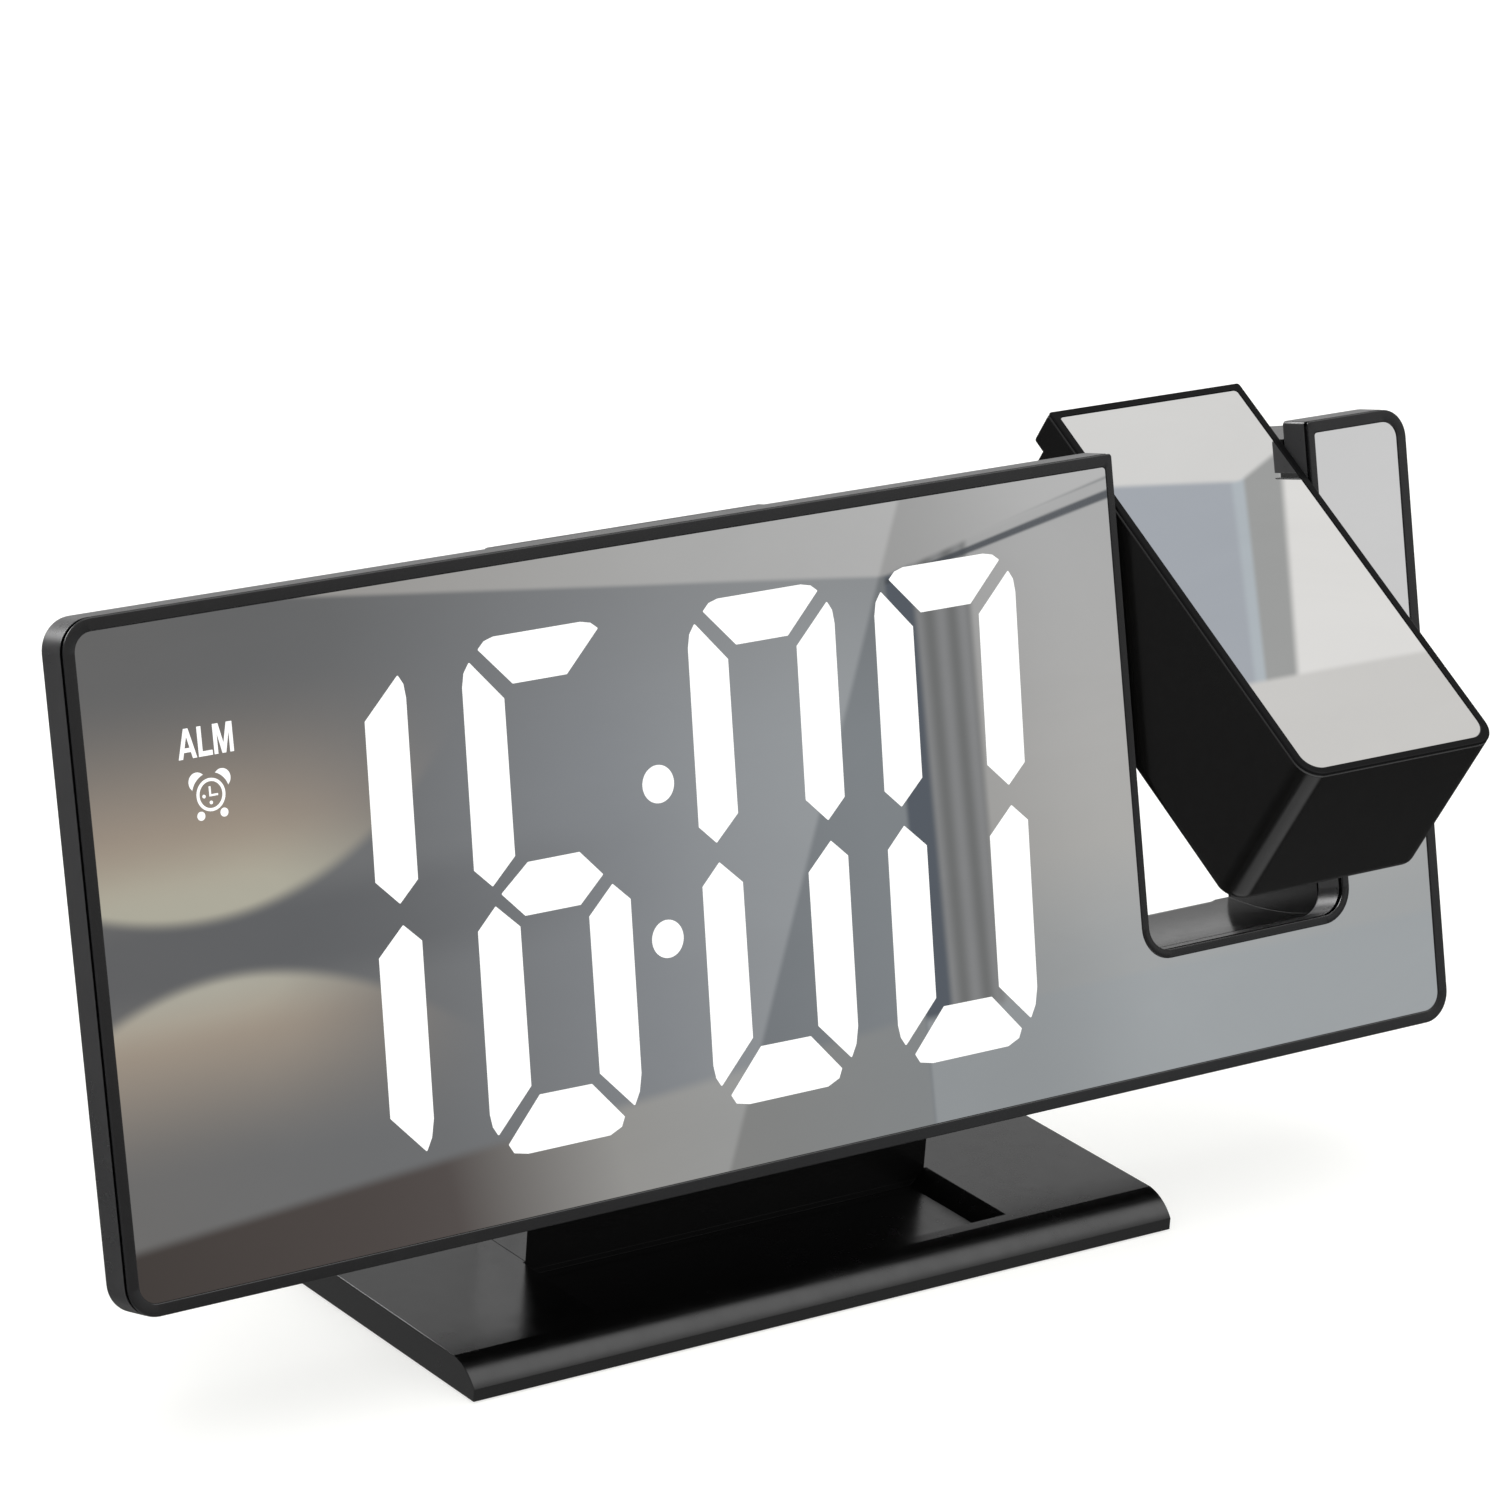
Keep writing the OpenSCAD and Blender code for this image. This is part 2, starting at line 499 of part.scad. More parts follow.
module arm_rear_cover() color("#171718") in_arm() difference() {
  alay(arm_d - 1.7, arm_d - 0.1) arm2d(1.85, top_z - 0.15);
  for (p = arm_screw_at) translate([p[0], 5, p[1]]) rotate([-90, 0, 0]) { cylinder(h = 10, d = 1.9); translate([0, 0, hx - 6]) cylinder(h = 4, d = 3.6); }
  for (i = [0:4]) alay(arm_d - 3, arm_d + 1) translate([0, -30 + 2.6*i]) rrect(-7, -0.55, 7, 0.55, 0.5);
}
module arm_screws() color("#8e9094") in_arm()
  for (p = arm_screw_at) translate([p[0], hx - 0.2, p[1]]) rotate([90, 0, 0]) screw(1.7, 4.6, 3.2, 0.8);
module lens_barrel() color("#202021") in_arm() difference() {
  union() {
    translate([0, lens_y, -14]) cylinder(h = 18.1, r = 7.1);
    translate([-9, -hx + 3.2, -27]) cube([18, lens_y + hx + 4.4, 13 + e]);
  }
  translate([0, lens_y, -12]) cylinder(h = 30, r = 5.95);
  translate([0, lens_y, -15]) cylinder(h = 5, r = 4.6);
  translate([-7.6, lens_y - 6, -28]) cube([15.2, 12, 13]);
}
module lens_cell() color("#2b2b2c") in_arm() translate([0, lens_y, 0]) difference() {
  translate([0, 0, -2]) cylinder(h = 12, r = 5.85);
  translate([0, 0, -3]) cylinder(h = 8, r = 4.6);
  translate([0, 0, 4]) cylinder(h = 3, r = 5);
  translate([0, 0, 6]) cylinder(h = 3.2, r = 5);
  translate([0, 0, 9]) cylinder(h = 2, r = 4.7);
}
module projector_lens() color("#b04040") in_arm() translate([0, lens_y, 0]) intersection() {
  translate([0, 0, 4.3]) cylinder(h = 4.6, r = 5);
  translate([0, 0, -3.3]) sphere(r = 12, $fn = 96);
}
module focus_ring() color("#2a2a2b") in_arm() translate([0, lens_y, 0]) difference() {
  union() {
    translate([0, 0, top_z - 5]) cylinder(h = 6.4, r = 6.75);
    translate([0, 0, top_z - 5.4]) cylinder(h = 3, r = 7.6);
  }
  translate([0, 0, top_z - 8]) cylinder(h = 12, r = 5.95);
  for (i = [0:17]) rotate([0, 0, 20*i]) translate([6.8, 0, top_z + 0.25]) cylinder(h = 3, r = 0.32);
}
// moulded lens with a square rim that fits the module's pocket
module condenser_lens() color("#dfe6ea") in_arm() translate([0, lens_y, 0]) {
  intersection() {
    translate([0, 0, -23]) cylinder(h = 4.4, r = 5.6);
    translate([0, 0, -27.6]) sphere(r = 9, $fn = 96);
  }
  translate([-7.5, -5.9, -24]) cube([15, 11.8, 1.2]);
}
module lcd_panel() color("#53605a") in_arm() translate([-7.5, lens_y - 5.9, -16.5]) cube([15, 11.8, 1.5]);
module projector_board() color("#1e5a35") in_arm() translate([-9, lens_y - 7.6, -28.4]) cube([18, 15.2, 1.4]);
module projector_led() color("#e8d8a0") in_arm() {
  translate([-1.8, lens_y - 1.8, -27]) cube([3.6, 3.6, 0.9]);
  translate([0, lens_y, -26.1 - e]) cylinder(h = 0.9, r = 1.3);
}
module heat_sink() color("#aeb1b4") in_arm() {
  translate([-8, lens_y - 7, -29.8]) cube([16, 14, 1.4]);
  for (i = [0:5]) translate([-8 + 3*i, lens_y - 7, -34]) cube([1, 14, 4.2 + e]);
}
// wires from the projector's board to the hollow pin
module arm_wires() color("#7a1f1f") in_arm() {
  x1 = -arm_hw + 4.7;
  xrod(notch_x - 7.5 - arm_x, x1 + 0.5, 0.9);
  translate([x1, 0, -28.2]) cylinder(h = 28.9, r = 0.8);
  translate([0, 0, -27.7]) xrod(x1, -9, 0.6);
}

base_plate();
base_weight();
base_pad();
stand_neck();
base_screws();
neck_screws();
mid_frame();
front_bezel();
mirror_panel();
light_mask();
digit_windows();
indicator_windows();
display_board();
segment_leds();
main_board();
power_board();
board_connector();
board_chips();
tact_switches();
rear_cover();
cover_screws();
buzzer();
usb_inlet();
usb_charge_port();
coin_cell();
cell_holder();
cell_contacts();
battery_door();
snooze_button();
button_time();
button_alarm();
button_up();
button_down();
button_mode();
button_projector();
hinge_bush_left();
hinge_bush_right();
friction_washers();
arm_housing();
arm_bezel();
arm_mirror();
arm_rear_cover();
arm_screws();
hinge_pin_left();
hinge_pin_right();
hinge_clips();
lens_barrel();
condenser_lens();
lcd_panel();
projector_board();
projector_led();
heat_sink();
arm_wires();
focus_ring();
lens_cell();
projector_lens();
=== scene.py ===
import json
import math

import bmesh
import bpy
from mathutils import Matrix, Vector


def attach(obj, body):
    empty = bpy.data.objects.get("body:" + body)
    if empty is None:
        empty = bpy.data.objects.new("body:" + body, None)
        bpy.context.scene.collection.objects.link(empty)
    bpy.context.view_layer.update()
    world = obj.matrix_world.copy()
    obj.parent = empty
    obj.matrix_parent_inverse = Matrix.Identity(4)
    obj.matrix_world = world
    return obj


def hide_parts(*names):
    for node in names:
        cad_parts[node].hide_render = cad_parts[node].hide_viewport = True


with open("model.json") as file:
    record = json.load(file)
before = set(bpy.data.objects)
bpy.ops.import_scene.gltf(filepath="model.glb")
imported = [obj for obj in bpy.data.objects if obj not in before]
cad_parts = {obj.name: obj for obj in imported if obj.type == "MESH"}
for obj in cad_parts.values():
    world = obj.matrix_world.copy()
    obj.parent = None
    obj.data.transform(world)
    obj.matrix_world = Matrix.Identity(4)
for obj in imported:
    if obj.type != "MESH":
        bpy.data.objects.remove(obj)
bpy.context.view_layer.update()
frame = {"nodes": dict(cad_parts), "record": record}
NODES = frame["nodes"]
SLOT = {s["node"]: s["material_slot"] for s in frame["record"]["subparts"]}

# ---------------------------------------------------------------- dimensions
# Millimetres, the same frame as the CAD. "Body" coordinates are x, depth v
# behind the display's face, and height u along that face.
TILT = math.radians(15.2)
BY, BZ = -23.1, 19.3
CT, ST = math.cos(TILT), math.sin(TILT)
BW, BH = 195.0, 78.0
RIM_D, BODY_D = 5.0, 22.5
PIV_V, PIV_U = 11.75, 66.0
ARM_X, ARM_HW, ARM_L, ARM_D, DROP = 65.8, 15.3, 61.0, 23.5, 12.0
SWING = math.radians(60.7)
SINK = 0.15


def body_pt(x, v, u):
    return Vector((x, BY + v * CT + u * ST, BZ + u * CT - v * ST)) * 0.001


PIVOT = body_pt(ARM_X, PIV_V, PIV_U)


def arm_pt(x, y, z):
    """Point of the arm: y behind its pivot, z up its length, from the pivot."""
    s, c = math.sin(SWING), math.cos(SWING)
    return PIVOT + Vector((x, y * c + z * s, z * c - y * s)) * 0.001


# ---------------------------------------------------------------- camera
def make_camera():
    az, el, roll = math.radians(-37.78), math.radians(19.98), math.radians(4.29)
    dist, f_px = 763.21, 6689.77
    target = Vector((-17.60, -23.1, 73.89))
    back = Vector((math.sin(az) * math.cos(el), -math.cos(az) * math.cos(el), math.sin(el)))
    right = (-back).cross(Vector((0, 0, 1))).normalized()
    up = right.cross(-back).normalized()
    r2 = right * math.cos(roll) + up * math.sin(roll)
    u2 = -right * math.sin(roll) + up * math.cos(roll)
    data = bpy.data.cameras.new("camera")
    data.sensor_fit = "HORIZONTAL"
    data.sensor_width = 36.0
    data.lens = f_px / 1500.0 * 36.0
    data.clip_start, data.clip_end = 0.05, 50.0
    data.dof.use_dof = False
    cam = bpy.data.objects.new("camera", data)
    cam.matrix_world = Matrix((
        (r2.x, u2.x, back.x, (target.x + back.x * dist) * 0.001),
        (r2.y, u2.y, back.y, (target.y + back.y * dist) * 0.001),
        (r2.z, u2.z, back.z, (target.z + back.z * dist) * 0.001),
        (0, 0, 0, 1)))
    bpy.context.scene.collection.objects.link(cam)
    bpy.context.scene.camera = cam


# ---------------------------------------------------------------- node helpers
class Tree:
    def __init__(self, name):
        self.mat = bpy.data.materials.new(name)
        self.mat.use_nodes = True
        self.nt = self.mat.node_tree
        self.nt.nodes.clear()
        self.out = self.nt.nodes.new("ShaderNodeOutputMaterial")
        self.p = self.nt.nodes.new("ShaderNodeBsdfPrincipled")
        self.nt.links.new(self.p.outputs["BSDF"], self.out.inputs["Surface"])
        self._co = None

    def new(self, kind, **values):
        n = self.nt.nodes.new(kind)
        for k, v in values.items():
            setattr(n, k, v)
        return n

    def link(self, a, b):
        self.nt.links.new(a, b)

    def coords(self):
        if self._co is None:
            self._co = self.new("ShaderNodeTexCoord").outputs["Object"]
        return self._co

    def mapped(self, scale=(1, 1, 1), rot=(0, 0, 0)):
        m = self.new("ShaderNodeMapping")
        m.inputs["Scale"].default_value = scale
        m.inputs["Rotation"].default_value = rot
        self.link(self.coords(), m.inputs["Vector"])
        return m.outputs["Vector"]

    def noise(self, scale, detail=3.0, rough=0.5, vector=None, distortion=0.0):
        n = self.new("ShaderNodeTexNoise")
        n.inputs["Scale"].default_value = scale
        n.inputs["Detail"].default_value = detail
        n.inputs["Roughness"].default_value = rough
        n.inputs["Distortion"].default_value = distortion
        self.link(vector if vector is not None else self.coords(), n.inputs["Vector"])
        return n.outputs["Fac"]

    def voronoi(self, scale, vector=None, feature="F1", randomness=1.0):
        n = self.new("ShaderNodeTexVoronoi", feature=feature)
        n.inputs["Scale"].default_value = scale
        n.inputs["Randomness"].default_value = randomness
        self.link(vector if vector is not None else self.coords(), n.inputs["Vector"])
        return n.outputs["Distance"]

    def remap(self, value, a, b, c, d, smooth=False):
        n = self.new("ShaderNodeMapRange")
        n.interpolation_type = "SMOOTHSTEP" if smooth else "LINEAR"
        for i, v in zip((1, 2, 3, 4), (a, b, c, d)):
            n.inputs[i].default_value = v
        self.link(value, n.inputs[0])
        return n.outputs[0]

    def math(self, op, a, b):
        n = self.new("ShaderNodeMath", operation=op)
        for i, v in enumerate((a, b)):
            if isinstance(v, (int, float)):
                n.inputs[i].default_value = v
            else:
                self.link(v, n.inputs[i])
        return n.outputs[0]

    def mix(self, fac, a, b):
        n = self.new("ShaderNodeMix", data_type="RGBA")
        ins = {i.identifier: i for i in n.inputs}
        if isinstance(fac, (int, float)):
            ins["Factor_Float"].default_value = fac
        else:
            self.link(fac, ins["Factor_Float"])
        for key, v in (("A_Color", a), ("B_Color", b)):
            if isinstance(v, (tuple, list)):
                ins[key].default_value = (*v[:3], 1)
            else:
                self.link(v, ins[key])
        return {o.identifier: o for o in n.outputs}["Result_Color"]

    def bump(self, height, strength, distance, normal=None):
        n = self.new("ShaderNodeBump")
        n.inputs["Strength"].default_value = strength
        n.inputs["Distance"].default_value = distance
        self.link(height, n.inputs["Height"])
        if normal is not None:
            self.link(normal, n.inputs["Normal"])
        return n.outputs["Normal"]


def plastic(name, base, light, rough=(0.3, 0.4), grain=0.25, grain_scale=9000.0,
            spec=0.5, wear=0.35, coat=0.0, dust=0.12):
    """Moulded plastic: fine spark texture, faint flow and handling marks, worn edges."""
    t = Tree(name)
    big = t.noise(38.0, 4.0, 0.55)
    mid = t.noise(420.0, 5.0, 0.6)
    fine = t.noise(grain_scale, 2.0, 0.5)
    # edges catch a little more light where the surface is rubbed
    bev = t.new("ShaderNodeBevel", samples=4)
    bev.inputs["Radius"].default_value = 0.00045
    geo = t.new("ShaderNodeNewGeometry")
    dot = t.new("ShaderNodeVectorMath", operation="DOT_PRODUCT")
    t.link(bev.outputs["Normal"], dot.inputs[0])
    t.link(geo.outputs["Normal"], dot.inputs[1])
    edge = t.remap(dot.outputs["Value"], 0.985, 0.80, 0.0, 1.0, True)
    edge = t.math("MULTIPLY", edge, t.remap(mid, 0.35, 0.65, 0.25, 1.0))
    tone = t.mix(t.remap(big, 0.3, 0.7, 0.0, 1.0), base, tuple(c * 1.22 for c in base))
    tone = t.mix(t.math("MULTIPLY", t.remap(mid, 0.55, 0.85, 0.0, 1.0), dust), tone, light)
    tone = t.mix(t.math("MULTIPLY", edge, wear), tone, light)
    t.link(tone, t.p.inputs["Base Color"])
    r = t.remap(big, 0.3, 0.7, rough[0], rough[1])
    r = t.math("ADD", r, t.remap(mid, 0.3, 0.7, -0.03, 0.03))
    t.link(r, t.p.inputs["Roughness"])
    t.p.inputs["Specular IOR Level"].default_value = spec
    if coat:
        t.p.inputs["Coat Weight"].default_value = coat
        t.p.inputs["Coat Roughness"].default_value = 0.12
    nrm = t.bump(fine, grain, 0.00002)
    t.link(t.bump(big, 0.035, 0.0004, nrm), t.p.inputs["Normal"])
    return t.mat


def metal(name, base, dark, rough=(0.25, 0.4), brushed=(1, 1, 1), bump=0.2, metallic=1.0):
    """Metal with brushing along one axis and tarnish in patches."""
    t = Tree(name)
    v = t.mapped(brushed)
    brush = t.noise(900.0, 4.0, 0.65, v)
    patch = t.noise(160.0, 4.0, 0.6)
    tone = t.mix(t.remap(patch, 0.35, 0.7, 0.0, 0.8), base, dark)
    t.link(tone, t.p.inputs["Base Color"])
    t.p.inputs["Metallic"].default_value = metallic
    t.link(t.remap(brush, 0.3, 0.7, rough[0], rough[1]), t.p.inputs["Roughness"])
    t.link(t.bump(brush, bump, 0.00003), t.p.inputs["Normal"])
    return t.mat


def mirror_mat(name, base):
    """Silvered acrylic: faint ripple, a few wipe marks and specks."""
    t = Tree(name)
    wipe = t.noise(26.0, 5.0, 0.62, t.mapped((1.0, 2.2, 2.2), (0.0, 0.5, 0.0)), 0.6)
    speck = t.voronoi(2600.0)
    tone = t.mix(t.remap(wipe, 0.35, 0.7, 0.0, 1.0), base, tuple(c * 0.965 for c in base))
    t.link(tone, t.p.inputs["Base Color"])
    t.p.inputs["Metallic"].default_value = 1.0
    r = t.remap(wipe, 0.3, 0.75, 0.002, 0.010)
    r = t.math("ADD", r, t.remap(speck, 0.0, 0.05, 0.06, 0.0))
    t.link(r, t.p.inputs["Roughness"])
    t.link(t.bump(t.noise(9.0, 2.0, 0.5), 0.02, 0.0006), t.p.inputs["Normal"])
    return t.mat


def lit(name, colour, glow, strength):
    """Light-scattering plastic lit from behind, a touch uneven."""
    t = Tree(name)
    n = t.noise(300.0, 2.0, 0.5)
    t.link(t.mix(t.remap(n, 0.3, 0.7, 0.0, 1.0), colour, tuple(c * 0.94 for c in colour)), t.p.inputs["Base Color"])
    t.link(t.remap(n, 0.3, 0.7, 0.35, 0.5), t.p.inputs["Roughness"])
    t.p.inputs["Emission Color"].default_value = (*glow, 1)
    t.p.inputs["Emission Strength"].default_value = strength
    return t.mat


def board(name):
    """Green solder mask with track relief."""
    t = Tree(name)
    tracks = t.new("ShaderNodeTexBrick")
    tracks.inputs["Scale"].default_value = 260.0
    tracks.inputs["Mortar Size"].default_value = 0.08
    tracks.inputs["Color1"].default_value = (0.008, 0.10, 0.035, 1)
    tracks.inputs["Color2"].default_value = (0.010, 0.13, 0.045, 1)
    tracks.inputs["Mortar"].default_value = (0.004, 0.055, 0.02, 1)
    t.link(t.coords(), tracks.inputs["Vector"])
    t.link(tracks.outputs["Color"], t.p.inputs["Base Color"])
    t.link(t.remap(t.noise(500.0), 0.3, 0.7, 0.25, 0.4), t.p.inputs["Roughness"])
    t.link(t.bump(tracks.outputs["Fac"], 0.4, 0.00003), t.p.inputs["Normal"])
    return t.mat


def rubber(name, base, light):
    """Soft rubber with a fine cross-hatched tread and dusty high spots."""
    t = Tree(name)
    v = t.voronoi(1500.0, None, "F1", 0.15)
    n = t.noise(180.0, 4.0, 0.6)
    t.link(t.mix(t.remap(n, 0.45, 0.8, 0.0, 0.5), base, light), t.p.inputs["Base Color"])
    t.link(t.remap(n, 0.3, 0.7, 0.65, 0.85), t.p.inputs["Roughness"])
    t.p.inputs["Specular IOR Level"].default_value = 0.3
    t.link(t.bump(v, 0.5, 0.0001), t.p.inputs["Normal"])
    return t.mat


def glassy(name, colour, rough, glow=None, strength=0.0, ior=1.49):
    t = Tree(name)
    n = t.noise(220.0, 3.0, 0.5)
    t.link(t.mix(t.remap(n, 0.3, 0.7, 0.0, 1.0), colour, tuple(c * 0.93 for c in colour)), t.p.inputs["Base Color"])
    t.link(t.remap(n, 0.3, 0.7, rough, rough + 0.04), t.p.inputs["Roughness"])
    t.p.inputs["IOR"].default_value = ior
    t.p.inputs["Coat Weight"].default_value = 1.0
    t.p.inputs["Coat Roughness"].default_value = 0.03
    if glow:
        t.p.inputs["Emission Color"].default_value = (*glow, 1)
        t.p.inputs["Emission Strength"].default_value = strength
    return t.mat


MATS = {
    "black_gloss": plastic("black_gloss", (0.0016, 0.0016, 0.0016), (0.02, 0.02, 0.0205), (0.21, 0.27), 0.08, 12000.0, 0.5, 0.10, 0.0, 0.03),
    "black_satin": plastic("black_satin", (0.0032, 0.0031, 0.0030), (0.025, 0.025, 0.0255), (0.20, 0.25), 0.06, 9000.0, 0.32, 0.10, 0.0, 0.04),
    "button_black": plastic("button_black", (0.010, 0.010, 0.0105), (0.06, 0.06, 0.062), (0.32, 0.42), 0.2, 9000.0, 0.5, 0.3),
    "side_band": plastic("side_band", (0.029, 0.029, 0.030), (0.10, 0.10, 0.10), (0.26, 0.34), 0.12, 12000.0, 0.5, 0.15, 0.0, 0.06),
    "frame_charcoal": plastic("frame_charcoal", (0.0105, 0.0105, 0.011), (0.05, 0.05, 0.052), (0.16, 0.20), 0.06, 12000.0, 0.5, 0.12, 0.0, 0.04),
    # painted shade: a darker, less glossy copy of frame_charcoal for the arm's cap, so it reflects less light than the
    # body's bezel
    "frame_charcoal_arm_painted_shade": plastic("frame_charcoal_arm_painted_shade", (0.0050, 0.0050, 0.0052), (0.03, 0.03, 0.031), (0.18, 0.22), 0.06, 12000.0, 0.06, 0.10, 0.0, 0.04),
    "mask_black": plastic("mask_black", (0.006, 0.006, 0.006), (0.03, 0.03, 0.03), (0.5, 0.65), 0.3, 7000.0, 0.35, 0.2),
    "mirror_face": mirror_mat("mirror_face", (0.825, 0.825, 0.825)),
    "lit_white": lit("lit_white", (0.25, 0.25, 0.25), (1.0, 1.0, 0.985), 0.86),
    "lens_red": glassy("lens_red", (0.45, 0.02, 0.015), 0.03, (1.0, 0.06, 0.03), 0.9),
    "clear_optic": glassy("clear_optic", (0.75, 0.79, 0.80), 0.03),
    "lcd_film": glassy("lcd_film", (0.06, 0.08, 0.075), 0.08),
    "circuit_board": board("circuit_board"),
    "led_body": plastic("led_body", (0.78, 0.70, 0.45), (0.9, 0.85, 0.7), (0.3, 0.4), 0.1),
    "chip_black": plastic("chip_black", (0.014, 0.014, 0.014), (0.05, 0.05, 0.05), (0.45, 0.6), 0.3, 6000.0),
    "contact_gold": metal("contact_gold", (0.78, 0.56, 0.22), (0.55, 0.38, 0.14), (0.22, 0.35)),
    "port_metal": metal("port_metal", (0.62, 0.63, 0.64), (0.42, 0.42, 0.43), (0.22, 0.36), (1, 8, 1)),
    "pin_steel": metal("pin_steel", (0.45, 0.45, 0.46), (0.3, 0.3, 0.31), (0.2, 0.32), (12, 1, 1)),
    "screw_steel": metal("screw_steel", (0.30, 0.30, 0.31), (0.16, 0.16, 0.165), (0.28, 0.42), (1, 1, 1), 0.3),
    "steel_plate": metal("steel_plate", (0.32, 0.32, 0.33), (0.2, 0.19, 0.18), (0.4, 0.55), (6, 1, 1), 0.4),
    "cell_steel": metal("cell_steel", (0.66, 0.67, 0.68), (0.5, 0.5, 0.51), (0.2, 0.3), (1, 1, 6)),
    "heat_sink_alu": metal("heat_sink_alu", (0.72, 0.73, 0.74), (0.55, 0.56, 0.57), (0.3, 0.42), (1, 8, 1)),
    "bush_plastic": plastic("bush_plastic", (0.62, 0.60, 0.55), (0.8, 0.78, 0.74), (0.35, 0.45), 0.15),
    "wire_sleeve": rubber("wire_sleeve", (0.30, 0.015, 0.012), (0.42, 0.05, 0.04)),
    "pad_rubber": rubber("pad_rubber", (0.012, 0.012, 0.012), (0.05, 0.05, 0.05)),
}

# ---------------------------------------------------------------- CAD nodes
BEVEL = {
    "base_plate": 0.3, "stand_neck": 0.5, "rear_cover": 0.3, "arm_rear_cover": 0.15, "snooze_button": 0.3,
    "button_time": 0.25, "button_alarm": 0.25, "button_up": 0.08, "button_down": 0.08,
    "button_mode": 0.25, "button_projector": 0.25, "focus_ring": 0.12, "lens_cell": 0.1, "usb_inlet": 0.05,
    "usb_charge_port": 0.06, "base_pad": 0.2,
}


ON_ARM = ("projector_arm", "focus_dial", "lens_slide")


def unmirrored(o, body):
    """The arm isn't picked up by the display's mirror behind it, nor by the gloss of the stand."""
    if body in ON_ARM:
        o.visible_glossy = False


def flat_normals(o):
    m = o.modifiers.new("normals", "WEIGHTED_NORMAL")
    m.mode = "FACE_AREA"
    m.weight = 50
    m.keep_sharp = True


def dress(name, o):
    mat = MATS[SLOT[name]]
    if not o.material_slots:
        o.data.materials.append(mat)
    for s in o.material_slots:
        s.material = mat
    width = BEVEL.get(name)
    if width is None:
        return
    m = o.modifiers.new("weld", "WELD")
    m.merge_threshold = 1e-6
    m = o.modifiers.new("planar", "DECIMATE")
    m.decimate_type = "DISSOLVE"
    m.angle_limit = math.radians(0.4)
    m = o.modifiers.new("bevel", "BEVEL")
    m.width = width * 0.001
    m.segments = 3
    m.limit_method = "ANGLE"
    m.angle_limit = math.radians(35)
    m.use_clamp_overlap = True
    m.harden_normals = False
    m.miter_outer = "MITER_ARC"
    flat_normals(o)


for _n, _o in NODES.items():
    dress(_n, _o)
for _b in ON_ARM:
    for _n in frame["record"]["behaviour"]["bodies"][_b]:
        unmirrored(NODES[_n], _b)


# ---------------------------------------------------------------- mesh helpers
def link_piece(name, bm, mat, body, replaces=(), smooth=True):
    bmesh.ops.remove_doubles(bm, verts=bm.verts, dist=1e-8)
    bmesh.ops.recalc_face_normals(bm, faces=bm.faces)
    me = bpy.data.meshes.new(name)
    bm.to_mesh(me)
    bm.free()
    return link_mesh(name, me, mat, body, replaces, smooth)


def link_mesh(name, me, mat, body, replaces=(), smooth=True):
    if smooth:
        for p in me.polygons:
            p.use_smooth = True
        me.set_sharp_from_angle(angle=math.radians(35))
    me.materials.clear()
    me.materials.append(mat)
    o = bpy.data.objects.new(name, me)
    bpy.context.scene.collection.objects.link(o)
    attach(o, body)
    unmirrored(o, body)
    if replaces:
        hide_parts(*replaces)
    if smooth:
        flat_normals(o)
    return o


def arc(cx, cy, r, a0, a1, n):
    return [(cx + r * math.cos(math.radians(a0 + (a1 - a0) * i / n)),
             cy + r * math.sin(math.radians(a0 + (a1 - a0) * i / n))) for i in range(n + 1)]


def rounded(points, seg=4):
    """Closed profile with its corners rounded: points are (a, b, radius)."""
    out = []
    n = len(points)
    for i, (a, b, r) in enumerate(points):
        if r <= 0:
            out.append((a, b))
            continue
        p = Vector((a, b))
        d0 = (Vector(points[i - 1][:2]) - p).normalized()
        d1 = (Vector(points[(i + 1) % n][:2]) - p).normalized()
        half = d0.angle(d1) / 2
        cut = r / math.tan(half)
        centre = p + (d0 + d1).normalized() * (r / math.sin(half))
        s0, s1 = p + d0 * cut - centre, p + d1 * cut - centre
        a0 = math.atan2(s0.y, s0.x)
        da = (math.atan2(s1.y, s1.x) - a0 + math.pi) % math.tau - math.pi
        for k in range(seg + 1):
            t = a0 + da * k / seg
            out.append((centre.x + r * math.cos(t), centre.y + r * math.sin(t)))
    return out


def loft(bm, rings, wrap=False, cap=True):
    """Skin between rings of equal count; wrap joins the last to the first."""
    vs = [[bm.verts.new(p) for p in ring] for ring in rings]
    n = len(vs[0])
    for i in range(len(vs) if wrap else len(vs) - 1):
        a, b = vs[i], vs[(i + 1) % len(vs)]
        for j in range(n):
            k = (j + 1) % n
            bm.faces.new((a[j], a[k], b[k], b[j]))
    if cap and not wrap:
        bm.faces.new(vs[0])
        bm.faces.new(list(reversed(vs[-1])))


# ---------------------------------------------------------------- body pieces
CORNER_R, NOTCH_X, NOTCH_W, NOTCH_Z, NOTCH_R = 3.8, 50.1, 31.4, 16.35, 3.2
TROUGH_R = math.hypot(ARM_L - DROP, ARM_D / 2) + 0.27


def drop(v):
    """How far the arm's cylindrical clearance cuts below the notch's floor at depth v."""
    return max(0.0, NOTCH_Z - (PIV_U - math.sqrt(TROUGH_R ** 2 - (v - PIV_V) ** 2)))


